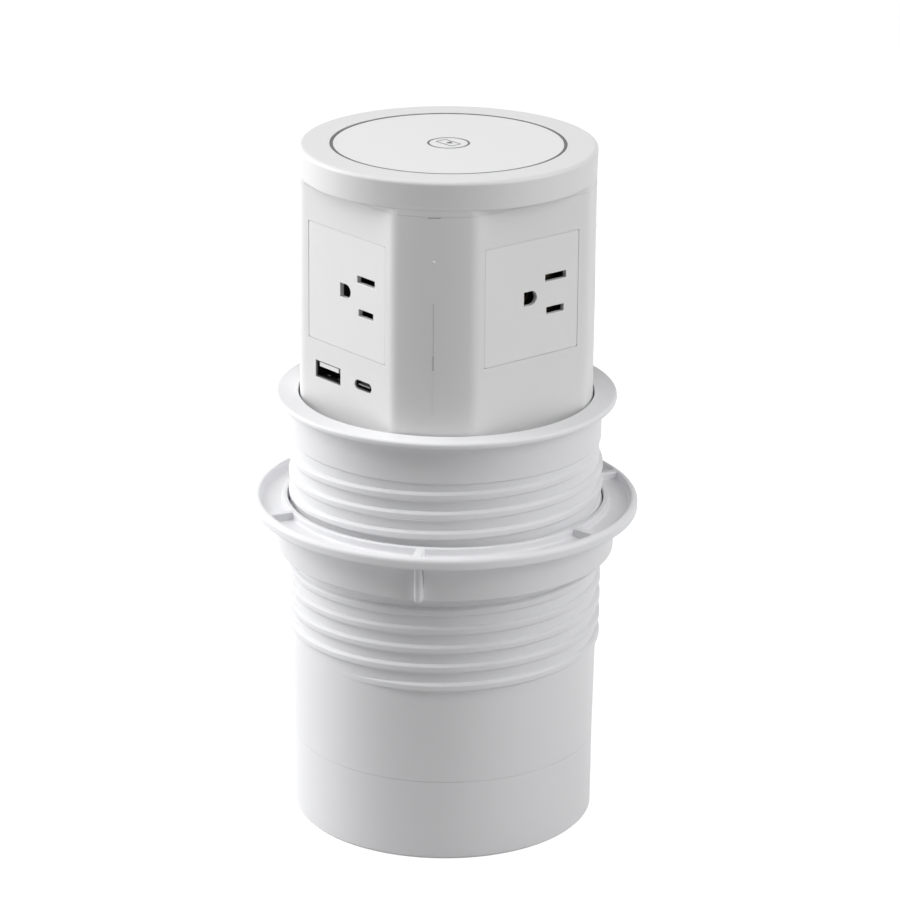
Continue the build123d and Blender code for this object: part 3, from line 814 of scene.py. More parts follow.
class ShaderGroup(GroupBuilder):
    """A builder for a shader node group."""

    def __init__(self, name: str, inputs: Sequence[tuple[str, str, object]],
                 outputs: Sequence[tuple[str, str]]) -> None:
        """Start the group, with its inputs and outputs as GroupBuilder takes them."""
        super().__init__(name, "ShaderNodeTree", inputs, outputs)

    def noise(self, vector: object, scale: object, detail: float = 2.0) -> bpy.types.NodeSocket:
        """Add a Noise Texture.

        Args:
            vector: the place that it is read at.
            scale: its scale.
            detail: its detail.

        Returns:
            Its factor.
        """
        made = self.node("ShaderNodeTexNoise")
        self.feed(vector, made.inputs["Vector"])
        self.feed(scale, made.inputs["Scale"])
        made.inputs["Detail"].default_value = detail
        return made.outputs["Fac"]


def grain_group() -> bpy.types.ShaderNodeTree:
    """Fine spark texture of a moulding, with slow changes of tone and gloss over it.

    Returns:
        The group's tree.
    """
    build = ShaderGroup("moulded_grain", [
        ("Grain Scale", "NodeSocketFloat", 2600.0),
        ("Flow Scale", "NodeSocketFloat", 14.0),
    ], [("Height", "NodeSocketFloat"), ("Tone", "NodeSocketFloat"), ("Gloss", "NodeSocketFloat")])
    place = build.node("ShaderNodeTexCoord").outputs["Object"]
    fine = build.noise(place, "Grain Scale", 3.0)
    pits = build.node("ShaderNodeTexVoronoi", feature="SMOOTH_F1")
    build.feed(place, pits.inputs["Vector"])
    build.feed(build.math("MULTIPLY", "Grain Scale", 0.45), pits.inputs["Scale"])
    height = build.math("ADD", fine, build.math("MULTIPLY", pits.outputs["Distance"], 0.5))
    slow = build.noise(place, "Flow Scale", 2.0)
    streak = build.noise(place, build.math("MULTIPLY", "Flow Scale", 7.0), 3.0)
    tone = build.math("ADD", build.math("MULTIPLY", slow, 0.7), build.math("MULTIPLY", streak, 0.3))
    build.feed(height, build.exit.inputs["Height"])
    build.feed(tone, build.exit.inputs["Tone"])
    build.feed(build.math("MULTIPLY", build.math("ADD", fine, streak), 0.5), build.exit.inputs["Gloss"])
    return build.tree


def edge_group() -> bpy.types.ShaderNodeTree:
    """Softened edges, with a mask of where they are.

    Returns:
        The group's tree.
    """
    build = ShaderGroup("soft_edges", [("Edge Radius", "NodeSocketFloat", 0.0003)],
                        [("Normal", "NodeSocketVector"), ("Edge", "NodeSocketFloat")])
    bevel = build.node("ShaderNodeBevel", samples=4)
    build.feed("Edge Radius", bevel.inputs["Radius"])
    plain = build.node("ShaderNodeNewGeometry").outputs["Normal"]
    dot = build.node("ShaderNodeVectorMath", operation="DOT_PRODUCT")
    build.feed(bevel.outputs["Normal"], dot.inputs[0])
    build.feed(plain, dot.inputs[1])
    away = build.math("SUBTRACT", 1.0, dot.outputs["Value"])
    build.feed(bevel.outputs["Normal"], build.exit.inputs["Normal"])
    build.feed(build.math("MINIMUM", build.math("MULTIPLY", away, 6.0), 1.0), build.exit.inputs["Edge"])
    return build.tree


def dust_group() -> bpy.types.ShaderNodeTree:
    """Specks and a thin haze that settle where a surface faces up.

    Returns:
        The group's tree.
    """
    build = ShaderGroup("settled_dust", [("Amount", "NodeSocketFloat", 0.1)], [("Dust", "NodeSocketFloat")])
    place = build.node("ShaderNodeTexCoord").outputs["Object"]
    up = build.node("ShaderNodeSeparateXYZ")
    build.feed(build.node("ShaderNodeNewGeometry").outputs["Normal"], up.inputs[0])
    facing = build.math("POWER", build.math("MAXIMUM", up.outputs["Z"], 0.0), 3.0)
    patch = build.spread(build.noise(place, 90.0, 4.0), -0.6, 1.6)
    speck = build.math("GREATER_THAN", build.noise(place, 1900.0, 1.0), 0.72)
    both = build.math("ADD", build.math("MULTIPLY", build.math("MAXIMUM", patch, 0.0), 0.5), speck)
    settled = build.math("MULTIPLY", build.math("MULTIPLY", both, facing), "Amount")
    build.feed(settled, build.exit.inputs["Dust"])
    return build.tree


class Groups:
    """The shared shader groups, built once."""

    def __init__(self) -> None:
        """Build the groups."""
        self.grain = grain_group()
        self.edges = edge_group()
        self.dust = dust_group()


class MaterialBuilder(NodeBuilder):
    """One material's node tree round its Principled BSDF."""

    def __init__(self, name: str) -> None:
        """Start the material.

        Args:
            name: the material's name.
        """
        self.material = bpy.data.materials.new(name)
        self.material.use_nodes = True
        super().__init__(self.material.node_tree)
        self.shader = self.tree.nodes["Principled BSDF"]

    def group(self, tree: bpy.types.ShaderNodeTree, **values: float) -> bpy.types.Node:
        """Place a shared group.

        Args:
            tree: the group's tree.
            **values: its inputs' values, by their names with underscores for spaces.

        Returns:
            The group's node.
        """
        made = self.node("ShaderNodeGroup")
        made.node_tree = tree
        for label, value in values.items():
            made.inputs[label.replace("_", " ")].default_value = value
        return made

    def mix(self, factor: object, first: object, second: object) -> bpy.types.NodeSocket:
        """Mix two colours by a factor.

        Args:
            factor: the second colour's share.
            first: a colour or its socket.
            second: a colour or its socket.

        Returns:
            The mixed colour.
        """
        made = self.node("ShaderNodeMix", data_type="RGBA")
        self.feed(factor, made.inputs[0])
        for value, socket in ((first, made.inputs[6]), (second, made.inputs[7])):
            self.feed((*value, 1.0) if isinstance(value, tuple) else value, socket)
        return made.outputs[2]

    def bump(self, height: object, depth: float, normal: object = None) -> bpy.types.NodeSocket:
        """Raise a height map by a depth in metres.

        Args:
            height: the height map.
            depth: how far it rises.
            normal: the normal that it starts from.

        Returns:
            The bumped normal.
        """
        made = self.node("ShaderNodeBump")
        made.inputs["Distance"].default_value = depth
        self.feed(height, made.inputs["Height"])
        if normal is not None:
            self.feed(normal, made.inputs["Normal"])
        return made.outputs["Normal"]


def shade(colour: Colour, factor: float) -> Colour:
    """A colour made lighter or darker by a factor."""
    return tuple(min(1.0, part * factor) for part in colour)


@dataclass(frozen=True)
class MouldedFinish:
    """Injection moulded plastic or rubber with a spark-eroded grain.

    Attributes:
        name: the material's name.
        colour: linear base colour.
        roughness: middle of its roughness.
        grain: depth of the grain in metres.
        grain_scale: scale of the grain.
        tone: how far its tone wanders, as a share.
        edge: radius of the softened edges in metres.
        edge_lift: how much lighter its edges are.
        dust: how much dust lies on it.
        gloss_spread: how far its roughness wanders either way.
    """

    name: str
    colour: Colour
    roughness: float
    grain: float = 0.000012
    grain_scale: float = 2600.0
    tone: float = 0.02
    edge: float = 0.00025
    # edge_lift: how much lighter its edges are, partly wear and partly painted highlight.
    edge_lift: float = 0.03
    dust: float = 0.04
    gloss_spread: float = 0.06

    def build(self, groups: Groups) -> bpy.types.Material:
        """Build the material from the shared groups.

        Args:
            groups: the shared groups.

        Returns:
            The material.
        """
        make = MaterialBuilder(self.name)
        grain = make.group(groups.grain, Grain_Scale=self.grain_scale)
        edges = make.group(groups.edges, Edge_Radius=self.edge)
        dust = make.group(groups.dust, Amount=self.dust)
        dark, light = shade(self.colour, 1 - self.tone), shade(self.colour, 1 + self.tone)
        body = make.mix(grain.outputs["Tone"], dark, light)
        # Edges lightened toward white: partly wear, partly painted highlight.
        edges_worn_and_highlit = make.mix(make.math("MULTIPLY", edges.outputs["Edge"], self.edge_lift), body, (1.0, 1.0, 1.0))
        dusty = make.mix(dust.outputs["Dust"], edges_worn_and_highlit, DUST)
        smooth, dull = self.roughness - self.gloss_spread, self.roughness + self.gloss_spread
        rough = make.spread(grain.outputs["Gloss"], smooth, dull)
        make.feed(dusty, make.shader.inputs["Base Color"])
        make.feed(rough, make.shader.inputs["Roughness"])
        normal = make.bump(grain.outputs["Height"], self.grain, edges.outputs["Normal"])
        make.feed(normal, make.shader.inputs["Normal"])
        return make.material


class Brushing(Enum):
    """Which way the fine lines of a metal run."""

    NONE = 0
    ROUND = 1


@dataclass(frozen=True)
class MetalFinish:
    """Bare or plated metal.

    Attributes:
        name: the material's name.
        colour: linear base colour.
        roughness: middle of its roughness.
        brushing: which way its fine lines run.
        line_scale: scale of its fine lines.
        line_stretch: how many times longer than wide they are.
        line_depth: depth of the lines in metres.
        edge: radius of the softened edges in metres.
    """

    name: str
    colour: Colour
    roughness: float
    brushing: Brushing = Brushing.NONE
    line_scale: float = 260.0
    line_stretch: float = 40.0
    line_depth: float = 0.00001
    edge: float = 0.0002

    def build(self, groups: Groups) -> bpy.types.Material:
        """Build the material from the shared groups.

        Args:
            groups: the shared groups.

        Returns:
            The material.
        """
        make = MaterialBuilder(self.name)
        make.shader.inputs["Metallic"].default_value = 1.0
        mapping = make.node("ShaderNodeMapping")
        mapping.inputs["Scale"].default_value = {
            Brushing.NONE: (1.0, 1.0, 1.0),
            Brushing.ROUND: (1.0, 1.0, self.line_stretch),
        }[self.brushing]
        make.feed(make.node("ShaderNodeTexCoord").outputs["Object"], mapping.inputs["Vector"])
        lines = make.node("ShaderNodeTexNoise")
        lines.inputs["Scale"].default_value = self.line_scale
        lines.inputs["Detail"].default_value = 4.0
        make.feed(mapping.outputs["Vector"], lines.inputs["Vector"])
        edges = make.group(groups.edges, Edge_Radius=self.edge)
        tint = make.mix(lines.outputs["Fac"], shade(self.colour, 0.88), shade(self.colour, 1.08))
        # Edges lighter than the metal: partly wear, partly painted highlight.
        worn_and_highlit = make.mix(make.math("MULTIPLY", edges.outputs["Edge"], 0.35), tint, shade(self.colour, 1.25))
        make.feed(worn_and_highlit, make.shader.inputs["Base Color"])
        rough = make.spread(lines.outputs["Fac"], self.roughness - 0.08, self.roughness + 0.1)
        make.feed(rough, make.shader.inputs["Roughness"])
        normal = make.bump(lines.outputs["Fac"], self.line_depth, edges.outputs["Normal"])
        make.feed(normal, make.shader.inputs["Normal"])
        return make.material


@dataclass(frozen=True)
class BoardFinish:
    """A circuit board's solder mask over its copper, with tinned pads.

    Attributes:
        name: the material's name.
        mask: linear colour of the solder mask.
        pitch: how many cells of the track pattern lie in a metre.
        track: width of a track, as a share of a cell.
        pad: radius of a pad, as a share of a cell.
        copper: thickness of tracks and pads in metres.
        edge: radius of the softened edges in metres.
    """

    name: str
    mask: Colour
    pitch: float = 240.0
    track: float = 0.035
    pad: float = 0.16
    copper: float = 0.00004
    edge: float = 0.0001

    def build(self, groups: Groups) -> bpy.types.Material:
        """Build the material from the shared groups.

        Args:
            groups: the shared groups.

        Returns:
            The material.
        """
        make = MaterialBuilder(self.name)
        place = make.node("ShaderNodeTexCoord").outputs["Object"]
        tracks = make.node("ShaderNodeTexBrick", offset=0.37, squash=0.6, squash_frequency=3)
        tracks.inputs["Scale"].default_value = self.pitch
        tracks.inputs["Mortar Size"].default_value = self.track
        make.feed(place, tracks.inputs["Vector"])
        pads = make.node("ShaderNodeTexVoronoi", feature="F1")
        pads.inputs["Scale"].default_value = self.pitch * 1.4
        make.feed(place, pads.inputs["Vector"])
        pad = make.math("LESS_THAN", pads.outputs["Distance"], self.pad)
        line = tracks.outputs["Fac"]
        covered = make.mix(line, self.mask, shade(self.mask, 1.7))
        make.feed(make.mix(pad, covered, (0.6, 0.6, 0.58)), make.shader.inputs["Base Color"])
        make.feed(make.spread(pad, 0.34, 0.5), make.shader.inputs["Roughness"])
        make.feed(pad, make.shader.inputs["Metallic"])
        edges = make.group(groups.edges, Edge_Radius=self.edge)
        height = make.math("ADD", make.math("MULTIPLY", line, 0.5), pad)
        make.feed(make.bump(height, self.copper, edges.outputs["Normal"]), make.shader.inputs["Normal"])
        return make.material


# The cup takes a lighter copy of the shell white, painted light on the lower parts.
@dataclass(frozen=True)
class Finishes:
    """Every finish of the socket, built once.

    Attributes:
        made: the materials, by the record's slot names or by what they are for.
    """

    made: dict[str, bpy.types.Material]

    @classmethod
    def build(cls) -> "Finishes":
        """Build all the materials.

        Returns:
            The finishes.
        """
        groups = Groups()
        kinds = {
            "white_shell": MouldedFinish("satin_white_shell", (0.80, 0.80, 0.80), 0.42),
            # A lighter copy of the shell white for barrel, nut and cup: painted light on the lower parts.
            "white_barrel": MouldedFinish("satin_white_barrel", (0.86, 0.86, 0.875), 0.42),
            "white_module": MouldedFinish("smooth_white_module", (0.83, 0.83, 0.83), 0.3, 0.000004, 1800.0),
            "white_pad": MouldedFinish("white_charging_pad", (0.85, 0.85, 0.85), 0.34, 0.000006, 2200.0),
            # Painted shade for the parting line and the cap's pry notch.
            "seam": MouldedFinish("seam_shadow", (0.50, 0.50, 0.50), 0.5, edge_lift=0.0, dust=0.0),
            # Grey in place of the tongue's black: a painted highlight on the small port's tongue.
            "tongue_grey": MouldedFinish("grey_tongue", (0.15, 0.15, 0.15), 0.4, edge_lift=0.01, dust=0.01),
            "ring_grey": MouldedFinish("grey_trim", (0.10, 0.10, 0.105), 0.45),
            "inner_white": MouldedFinish("plain_inner_moulding", (0.62, 0.62, 0.60), 0.5),
            "black_insulator": MouldedFinish("black_moulding", (0.008, 0.008, 0.009), 0.5, edge_lift=0.01,
                                             dust=0.01),
            "rubber_grey": MouldedFinish("grey_rubber", (0.035, 0.035, 0.037), 0.7, 0.00003, 1500.0),
            "steel": MetalFinish("turned_steel", (0.52, 0.52, 0.53), 0.3, Brushing.ROUND),
            # Nickel far darker than bare metal: painted shade for the ports' cavities.
            "nickel": MetalFinish("dark_nickel_plate", (0.06, 0.06, 0.06), 0.42),
            "zinc_screw": MetalFinish("zinc_plate", (0.55, 0.56, 0.58), 0.32),
            # Brass darkened below bare metal: painted shade on contacts deep in their slots.
            "brass": MetalFinish("dull_brass", (0.17, 0.13, 0.075), 0.36),
            "copper": MetalFinish("enamelled_copper", (0.62, 0.25, 0.12), 0.28),
            "board_green": BoardFinish("green_board", (0.01, 0.075, 0.03)),
            "ferrite": MouldedFinish("ferrite_sheet", (0.02, 0.02, 0.022), 0.55),
        }
        return cls({slot: kind.build(groups) for slot, kind in kinds.items()})

    def __getitem__(self, slot: str) -> bpy.types.Material:
        """The material of a slot."""
        return self.made[slot]


# Sub-assemblies

@dataclass
class ThreadedBarrel:
    """The outer tube: collar, plain band, right-handed thread and lower wall."""

    seam_z: float = 32.0
    top_z: float = 170.0
    bore: float = 56.3
    pocket: float = 56.4
    pocket_floor_z: float = 158.5
    collar: float = 65.0
    collar_under_z: float = 167.7
    band: float = 59.4
    band_low_z: float = 152.6
    root: float = 58.7
    seam_radius: float = 58.1
    lip_radius: float = 54.6
    lip_low_z: float = 36.0
    lip_high_z: float = 38.0
    thread_z: float = 70.2
    thread_angle: float = -87.0
    thread_pitch: float = 7.6
    thread_length: float = 78.8
    thread_height: float = 1.4
    crest_width: float = 2.1
    foot_width: float = 4.9
    foot_depth: float = 0.5
    crest_round: float = 0.6
    run_out_turns: float = 0.14
    thread_steps: int = 160
    band_step: float = 0.7
    wall_break: float = 2.9

    def wall(self) -> bpy.types.Mesh:
        """The tube's section, turned.

        Returns:
            The tube's mesh.
        """
        return lathe(rounded([
            (self.bore, self.seam_z, 0.2),
            (self.bore, self.lip_low_z, 0.0),
            (self.lip_radius, self.lip_low_z, 0.2),
            (self.lip_radius, self.lip_high_z, 0.2),
            (self.bore, self.lip_high_z, 0.0),
            (self.bore, self.pocket_floor_z, 0.04),
            (self.pocket, self.pocket_floor_z, 0.04),
            (self.pocket, self.top_z, 0.35),
            (self.collar, self.top_z, 1.1),
            (self.collar, self.collar_under_z, 0.5),
            (self.band, self.collar_under_z, 1.1),
            (self.band, self.band_low_z, 0.25),
            (self.root, self.band_low_z - self.band_step, 0.3),
            (self.root, self.thread_z - self.wall_break, 0.0),
            (self.seam_radius, self.seam_z, 0.22),
        ]))

    def thread(self, grower: Grower) -> bpy.types.Mesh:
        """The helical ridge, which rises out of the wall at its foot and sinks back at its top.

        Args:
            grower: the Geometry Nodes trees.

        Returns:
            The ridge's mesh.
        """
        return grower.thread({
            "Radius": self.root, "Pitch": self.thread_pitch, "Turns": self.thread_length / self.thread_pitch,
            "Ridge Height": self.thread_height, "Crest Width": self.crest_width,
            "Foot Width": self.foot_width, "Foot Depth": self.foot_depth, "Crest Round": self.crest_round,
            "Run Out Turns": self.run_out_turns, "Steps per Turn": self.thread_steps,
        }, self.thread_z, self.thread_angle)

    def make(self, grower: Grower, finishes: Finishes) -> None:
        """Build the barrel and set it on the base.

        Args:
            grower: the Geometry Nodes trees.
            finishes: the materials.
        """
        mesh = merged([self.wall(), self.thread(grower)])
        # The barrel takes the lighter copy of the shell white, painted light.
        Piece("barrel_with_thread", Body.BASE, "white_shell", ("threaded_barrel",)).place(
            mesh, finishes["white_barrel"])


@dataclass
class ClampNut:
    """The nut that clamps the worktop: flange with channel and ribs, skirt, and grip fins."""

    top_z: float = 128.2
    under_z: float = 123.5
    low_z: float = 108.0
    bore: float = 60.6
    skirt: float = 64.7
    flange: float = 73.8
    rim: float = 2.6
    inner_rim: float = 2.1
    channel_depth: float = 3.0
    rib_width: float = 3.3
    rib_angle: float = -48.3
    rib_count: int = 6
    rib_inside: float = 0.8
    rib_outside: float = 1.3
    rib_foot: float = 1.2
    rib_under: float = 0.1
    rib_edge: float = 0.45
    fin_reach: float = 3.8
    fin_width: float = 3.1
    fin_round: float = 1.2
    fin_chamfer: float = 1.4
    fin_count: int = 3
    fin_root: float = 3.0
    fin_overlap: float = 1.5

    def ring(self) -> bpy.types.Mesh:
        """The turned section of flange, channel and skirt.

        Returns:
            The ring's mesh.
        """
        floor = self.top_z - self.channel_depth
        outer, inner = self.flange - self.rim, self.bore + self.inner_rim
        return lathe(rounded([
            (self.bore, self.low_z, 0.5),
            (self.skirt, self.low_z, 0.7),
            (self.skirt, self.under_z, 1.5),
            (self.flange, self.under_z, 0.9),
            (self.flange, self.top_z, 1.9),
            (outer, self.top_z, 0.6),
            (outer, floor, 1.2),
            (inner, floor, 0.7),
            (inner, self.top_z, 0.5),
            (self.bore, self.top_z, 0.5),
        ]))

    def ribs(self, grower: Grower) -> bpy.types.Mesh:
        """The ribs across the channel.

        Args:
            grower: the Geometry Nodes trees.

        Returns:
            The ribs' mesh.
        """
        start, end = self.bore + self.rib_inside, self.flange - self.rib_outside
        outline = rectangle(end - start, self.rib_width, 0.6)
        foot = self.top_z - self.channel_depth - self.rib_foot
        rib = plate([outline], foot, self.top_z - self.rib_under, self.rib_edge)
        return grower.around(rib, self.rib_count, self.rib_angle, (start + end) / 2)

    def fins(self, grower: Grower) -> bpy.types.Mesh:
        """The grip fins down the skirt.

        Args:
            grower: the Geometry Nodes trees.

        Returns:
            The fins' mesh.
        """
        reach, inside = self.skirt + self.fin_reach, self.skirt - self.fin_root
        top = self.under_z + self.fin_overlap
        outline = rounded([
            (inside, self.low_z + 0.4, 0.0),
            (reach - self.fin_chamfer, self.low_z, 1.6),
            (reach, self.low_z + self.fin_chamfer, 1.6),
            (reach, top, 0.0),
            (inside, top, 0.0),
        ])
        fin = moved(plate([outline], -self.fin_width / 2, self.fin_width / 2, self.fin_round),
                    Matrix.Rotation(math.pi / 2, 4, "X"))
        return grower.around(fin, self.fin_count, self.rib_angle)

    def make(self, grower: Grower, finishes: Finishes) -> None:
        """Build the nut and set it on its own body.

        Args:
            grower: the Geometry Nodes trees.
            finishes: the materials.
        """
        mesh = merged([self.ring(), self.ribs(grower), self.fins(grower)])
        # The nut takes the lighter copy of the shell white, painted light.
        Piece("clamp_nut_with_ribs", Body.NUT, "white_shell", ("clamp_nut",)).place(
            mesh, finishes["white_barrel"])


@dataclass
class TowerColumn:
    """The tower's housing with the marks that its mould left on it."""

    radius: float = 55.7
    flat_reach: float = 25.04
    seam_z: float = 253.2
    line_high_z: float = 220.6
    line_low_z: float = 195.0
    line_thick_z: float = 200.6
    line_faint_z: float = 179.0
    pip_z: float = 236.4
    pip_radius: float = 0.6
    pip_sunk: float = 0.3
    pip_edge: float = 0.05
    pip_rise: float = 0.32
    pry_width: float = 4.6
    pry_height: float = 0.28
    pry_drop: float = 0.02
    mark_rise: float = 0.14
    faint_width: float = 0.12
    thin_width: float = 0.2
    thick_width: float = 0.5
    cut_tolerance: float = 1e-4

    def housing(self) -> bpy.types.Mesh:
        """The CAD housing, with a cut close to each flat's ends that keeps the flats flat in shading.

        Returns:
            The housing's mesh.
        """
        shape = bmesh.new()
        form = cad_form("tower_shell")
        shape.from_mesh(form)
        bpy.data.meshes.remove(form)
        reach = self.flat_reach - HOLD
        for normal in ((1.0, 0.0, 0.0), (0.0, 1.0, 0.0)):
            for way in (-1.0, 1.0):
                everything = [*shape.verts, *shape.edges, *shape.faces]
                bmesh.ops.bisect_plane(shape, geom=everything, dist=self.cut_tolerance,
                                       plane_co=Vector(normal) * way * reach, plane_no=normal)
        return to_mesh(shape)

    def mark(self, width: float, low: float, high: float, angle: float) -> bpy.types.Mesh:
        """A thin upright mark on the round of the column."""
        return moved(prism(rectangle(self.mark_rise, width, 0.03), low, high), polar(angle, self.radius))

    def pip(self, angle: float) -> bpy.types.Mesh:
        """The small dome on the parting line.

        Args:
            angle: its heading, in degrees from +X.

        Returns:
            The dome's mesh.
        """
        dome = lathe(rounded([
            (0.0, -self.pip_sunk, 0.0), (self.pip_radius, -self.pip_sunk, 0.0),
            (self.pip_radius, self.pip_edge, 0.2), (0.0, self.pip_rise, 0.0)]), 20)
        stand = at(0.0, 0.0, self.pip_z) @ polar(angle, self.radius)
        return moved(dome, stand @ Matrix.Rotation(math.pi / 2, 4, "Y"))

    def mould_marks(self) -> list[bpy.types.Mesh]:
        """The parting line, its pip and the pry notch of the cap, on the column between each two faces; the
        strips of line and notch carry painted seam shade, the pip a painted highlight.

        Returns:
            The marks' meshes, in the slots of shell, painted seam shade and the pip's lighter white, which is
            a painted highlight.
        """
        marks = []
        for corner in CORNERS:
            # The pip's lighter pad white is a painted highlight on the dome.
            marks.append(painted(self.pip(corner), 2))
            marks.append(self.mark(self.faint_width, self.line_faint_z, self.line_low_z, corner))
            pry_top = self.seam_z - self.pry_drop
            # The line's darker strips and the notch go in slot 1, painted seam shade.
            for width, low, high in ((self.thin_width, self.line_thick_z, self.line_high_z),
                                     (self.thick_width, self.line_low_z, self.line_thick_z),
                                     (self.pry_width, pry_top - self.pry_height, pry_top)):
                marks.append(painted(self.mark(width, low, high, corner), 1))
        return marks

    def make(self, finishes: Finishes) -> None:
        """Build the column and set it on the tower.

        Args:
            finishes: the materials.
        """
        mesh = merged([self.housing(), *self.mould_marks()])
        # Slot 1 holds painted seam shade, slot 2 the lighter white of the pip's painted highlight.
        Piece("column_with_mould_marks", Body.TOWER, "white_shell", ("tower_shell",)).place(
            mesh, finishes["white_shell"], finishes["seam"], finishes["white_pad"])


@dataclass
class SocketModule:
    """One socket face: a softly edged square plate with a ground hole and two blade slots."""

    side: Side
    size: float = 45.1
    centre_z: float = 217.3
    front: float = 48.54
    thickness: float = 1.84
    edge: float = 0.1
    pattern_rise: float = 0.3
    ground_offset: float = -0.3
    ground_radius: float = 2.7
    ground_reach: float = 3.5
    blade_offset: float = 11.5
    blade_rise: float = 6.35
    neutral_length: float = 10.2
    line_length: float = 8.5
    slot_height: float = 2.8
    slot_round: float = 0.15
    corner_round: float = 0.8
    arc_steps: int = 20

    def ground_hole(self) -> list[Point]:
        """The D shaped hole, flat on the side away from the blades, run clockwise.

        Returns:
            The hole's outline.
        """
        x, y = self.ground_offset, self.pattern_rise
        radius, left = self.ground_radius, x - self.ground_reach
        arc = [math.radians(90 - 180 * step / self.arc_steps) for step in range(self.arc_steps + 1)]
        points = [(x + radius * math.cos(a), y + radius * math.sin(a)) for a in arc]
        return points + [(left, y - radius), (left, y + radius)]

    def slot(self, length: float, rise: float) -> list[Point]:
        """One blade slot, run clockwise."""
        y = self.pattern_rise + rise
        return rectangle(length, self.slot_height, self.slot_round, self.blade_offset, y)[::-1]

    def make(self, finishes: Finishes) -> None:
        """Build the face and set it on the tower.

        Args:
            finishes: the materials.
        """
        face = plate([
            rectangle(self.size, self.size, self.corner_round),
            self.ground_hole(),
            self.slot(self.neutral_length, self.blade_rise),
            self.slot(self.line_length, -self.blade_rise),
        ], -self.thickness, 0.0, self.edge)
        name = self.side.name.lower()
        stand = self.side.turn @ on_front(0.0, self.centre_z, self.front)
        Piece(f"face_{name}", Body.TOWER, "white_module", (f"socket_face_{name}",)).place(
            moved(face, stand), finishes["white_module"])


@dataclass
class UsbPorts:
    """The two data ports: drawn shells with rolled lips and spring leaves, and tongues with contacts."""

    centre_z: float = 183.3
    front: float = 48.2
    depth: float = 12.4
    wall: float = 0.4
    a_offset: float = -11.0
    a_width: float = 14.6
    a_height: float = 6.4
    c_offset: float = 10.0
    c_width: float = 9.6
    c_height: float = 3.5
    a_round: float = 0.5
    tongue_inset: float = 0.15
    a_tongue_width: float = 11.6
    a_tongue_height: float = 1.8
    a_tongue_drop: float = 0.95
    c_tongue_width: float = 6.7
    c_tongue_height: float = 0.6
    leaf_offset: float = 3.2
    leaf_width: float = 2.0
    lip: float = 0.12

    def shell(self, width: float, height: float, radius: float) -> bpy.types.Mesh:
        """A tube of drawn metal, closed at the back.

        Args:
            width: its outer width.
            height: its outer height.
            radius: radius of its outer corners.

        Returns:
            The shell, with its mouth at the origin.
        """
        outer = rectangle(width, height, radius)
        inner_radius = min(radius - 0.1, height / 2 - self.wall - 0.05)
        inner = rectangle(width - 2 * self.wall, height - 2 * self.wall, inner_radius)[::-1]
        tube = plate([outer, inner], -self.depth, 0.0, self.lip)
        closing = rectangle(width - self.wall, height - self.wall, radius - 0.1)
        return merged([tube, prism(closing, -self.depth + 0.05, -self.depth + self.wall)])

    def leaf(self, x: float) -> bpy.types.Mesh:
        """A spring leaf that stands up from the larger port's floor.

        Args:
            x: its place across.

        Returns:
            The leaf's mesh.
        """
        floor = -self.a_height / 2 + self.wall
        outline = rounded([(-9.0, floor - 0.1, 0.0), (-3.0, floor - 0.1, 0.0), (-2.2, floor + 0.25, 0.15),
                           (-3.4, floor + 0.55, 0.3), (-9.0, floor + 0.1, 0.0)])
        strip = prism(outline, x - self.leaf_width / 2, x + self.leaf_width / 2)
        return moved(strip, Matrix(((0, 0, 1, 0), (0, 1, 0, 0), (1, 0, 0, 0), (0, 0, 0, 1))))

    def strips(self, count: int, pitch: float, width: float, height: float,
               out: float) -> list[bpy.types.Mesh]:
        """The contact strips along a tongue.

        Args:
            count: how many strips.
            pitch: distance from strip to strip.
            width: width of a strip.
            height: their place up.
            out: how far out they run, from the mouth.

        Returns:
            The strips' meshes, in the slot of brass.
        """
        places = [(index - (count - 1) / 2) * pitch for index in range(count)]
        return [painted(plate([rectangle(width, 0.16, 0.03, x, height)], 1.0 - self.depth, out, 0.02), 1)
                for x in places]

    def port(self, offset: float) -> Matrix:
        """The place of a port's mouth."""
        return on_front(offset, self.centre_z, self.front)

    def make(self, finishes: Finishes) -> None:
        """Build both ports and set them on the tower.

        Args:
            finishes: the materials.
        """
        # The shells' darkened nickel is painted shade of the cavities.
        nickel, brass = finishes["nickel"], finishes["brass"]
        back = self.wall - self.depth
        shell = merged([self.shell(self.a_width, self.a_height, self.a_round),
                        self.leaf(-self.leaf_offset), self.leaf(self.leaf_offset)])
        Piece("usb_a_drawn_shell", Body.TOWER, "nickel", ("usb_a_shell",)).place(
            moved(shell, self.port(self.a_offset)), nickel)
        rise = self.a_height / 2 - self.wall - self.a_tongue_drop
        outline = rectangle(self.a_tongue_width, self.a_tongue_height, 0.3, 0.0, rise)
        tongue = plate([outline], back, -self.tongue_inset, 0.2)
        strips = self.strips(4, 2.3, 1.1, rise - 0.86, -2.0)
        # The tongue takes the lighter pad white, a painted highlight on its front.
        Piece("usb_a_tongue_with_contacts", Body.TOWER, "white_module", ("usb_a_tongue",)).place(
            moved(merged([tongue, *strips]), self.port(self.a_offset)), finishes["white_pad"], brass)
        shell = self.shell(self.c_width, self.c_height, self.c_height / 2 - 0.05)
        Piece("usb_c_drawn_shell", Body.TOWER, "nickel", ("usb_c_shell",)).place(
            moved(shell, self.port(self.c_offset)), nickel)
        outline = rectangle(self.c_tongue_width, self.c_tongue_height, 0.13)
        tongue = plate([outline], back, -self.tongue_inset, 0.1)
        strips = self.strips(8, 0.78, 0.4, 0.33, -1.7) + self.strips(8, 0.78, 0.4, -0.33, -1.7)
        # The tongue's grey, lighter than its black insulator, is a painted highlight.
        Piece("usb_c_tongue_with_contacts", Body.TOWER, "black_insulator", ("usb_c_tongue",)).place(
            moved(merged([tongue, *strips]), self.port(self.c_offset)), finishes["tongue_grey"], brass)


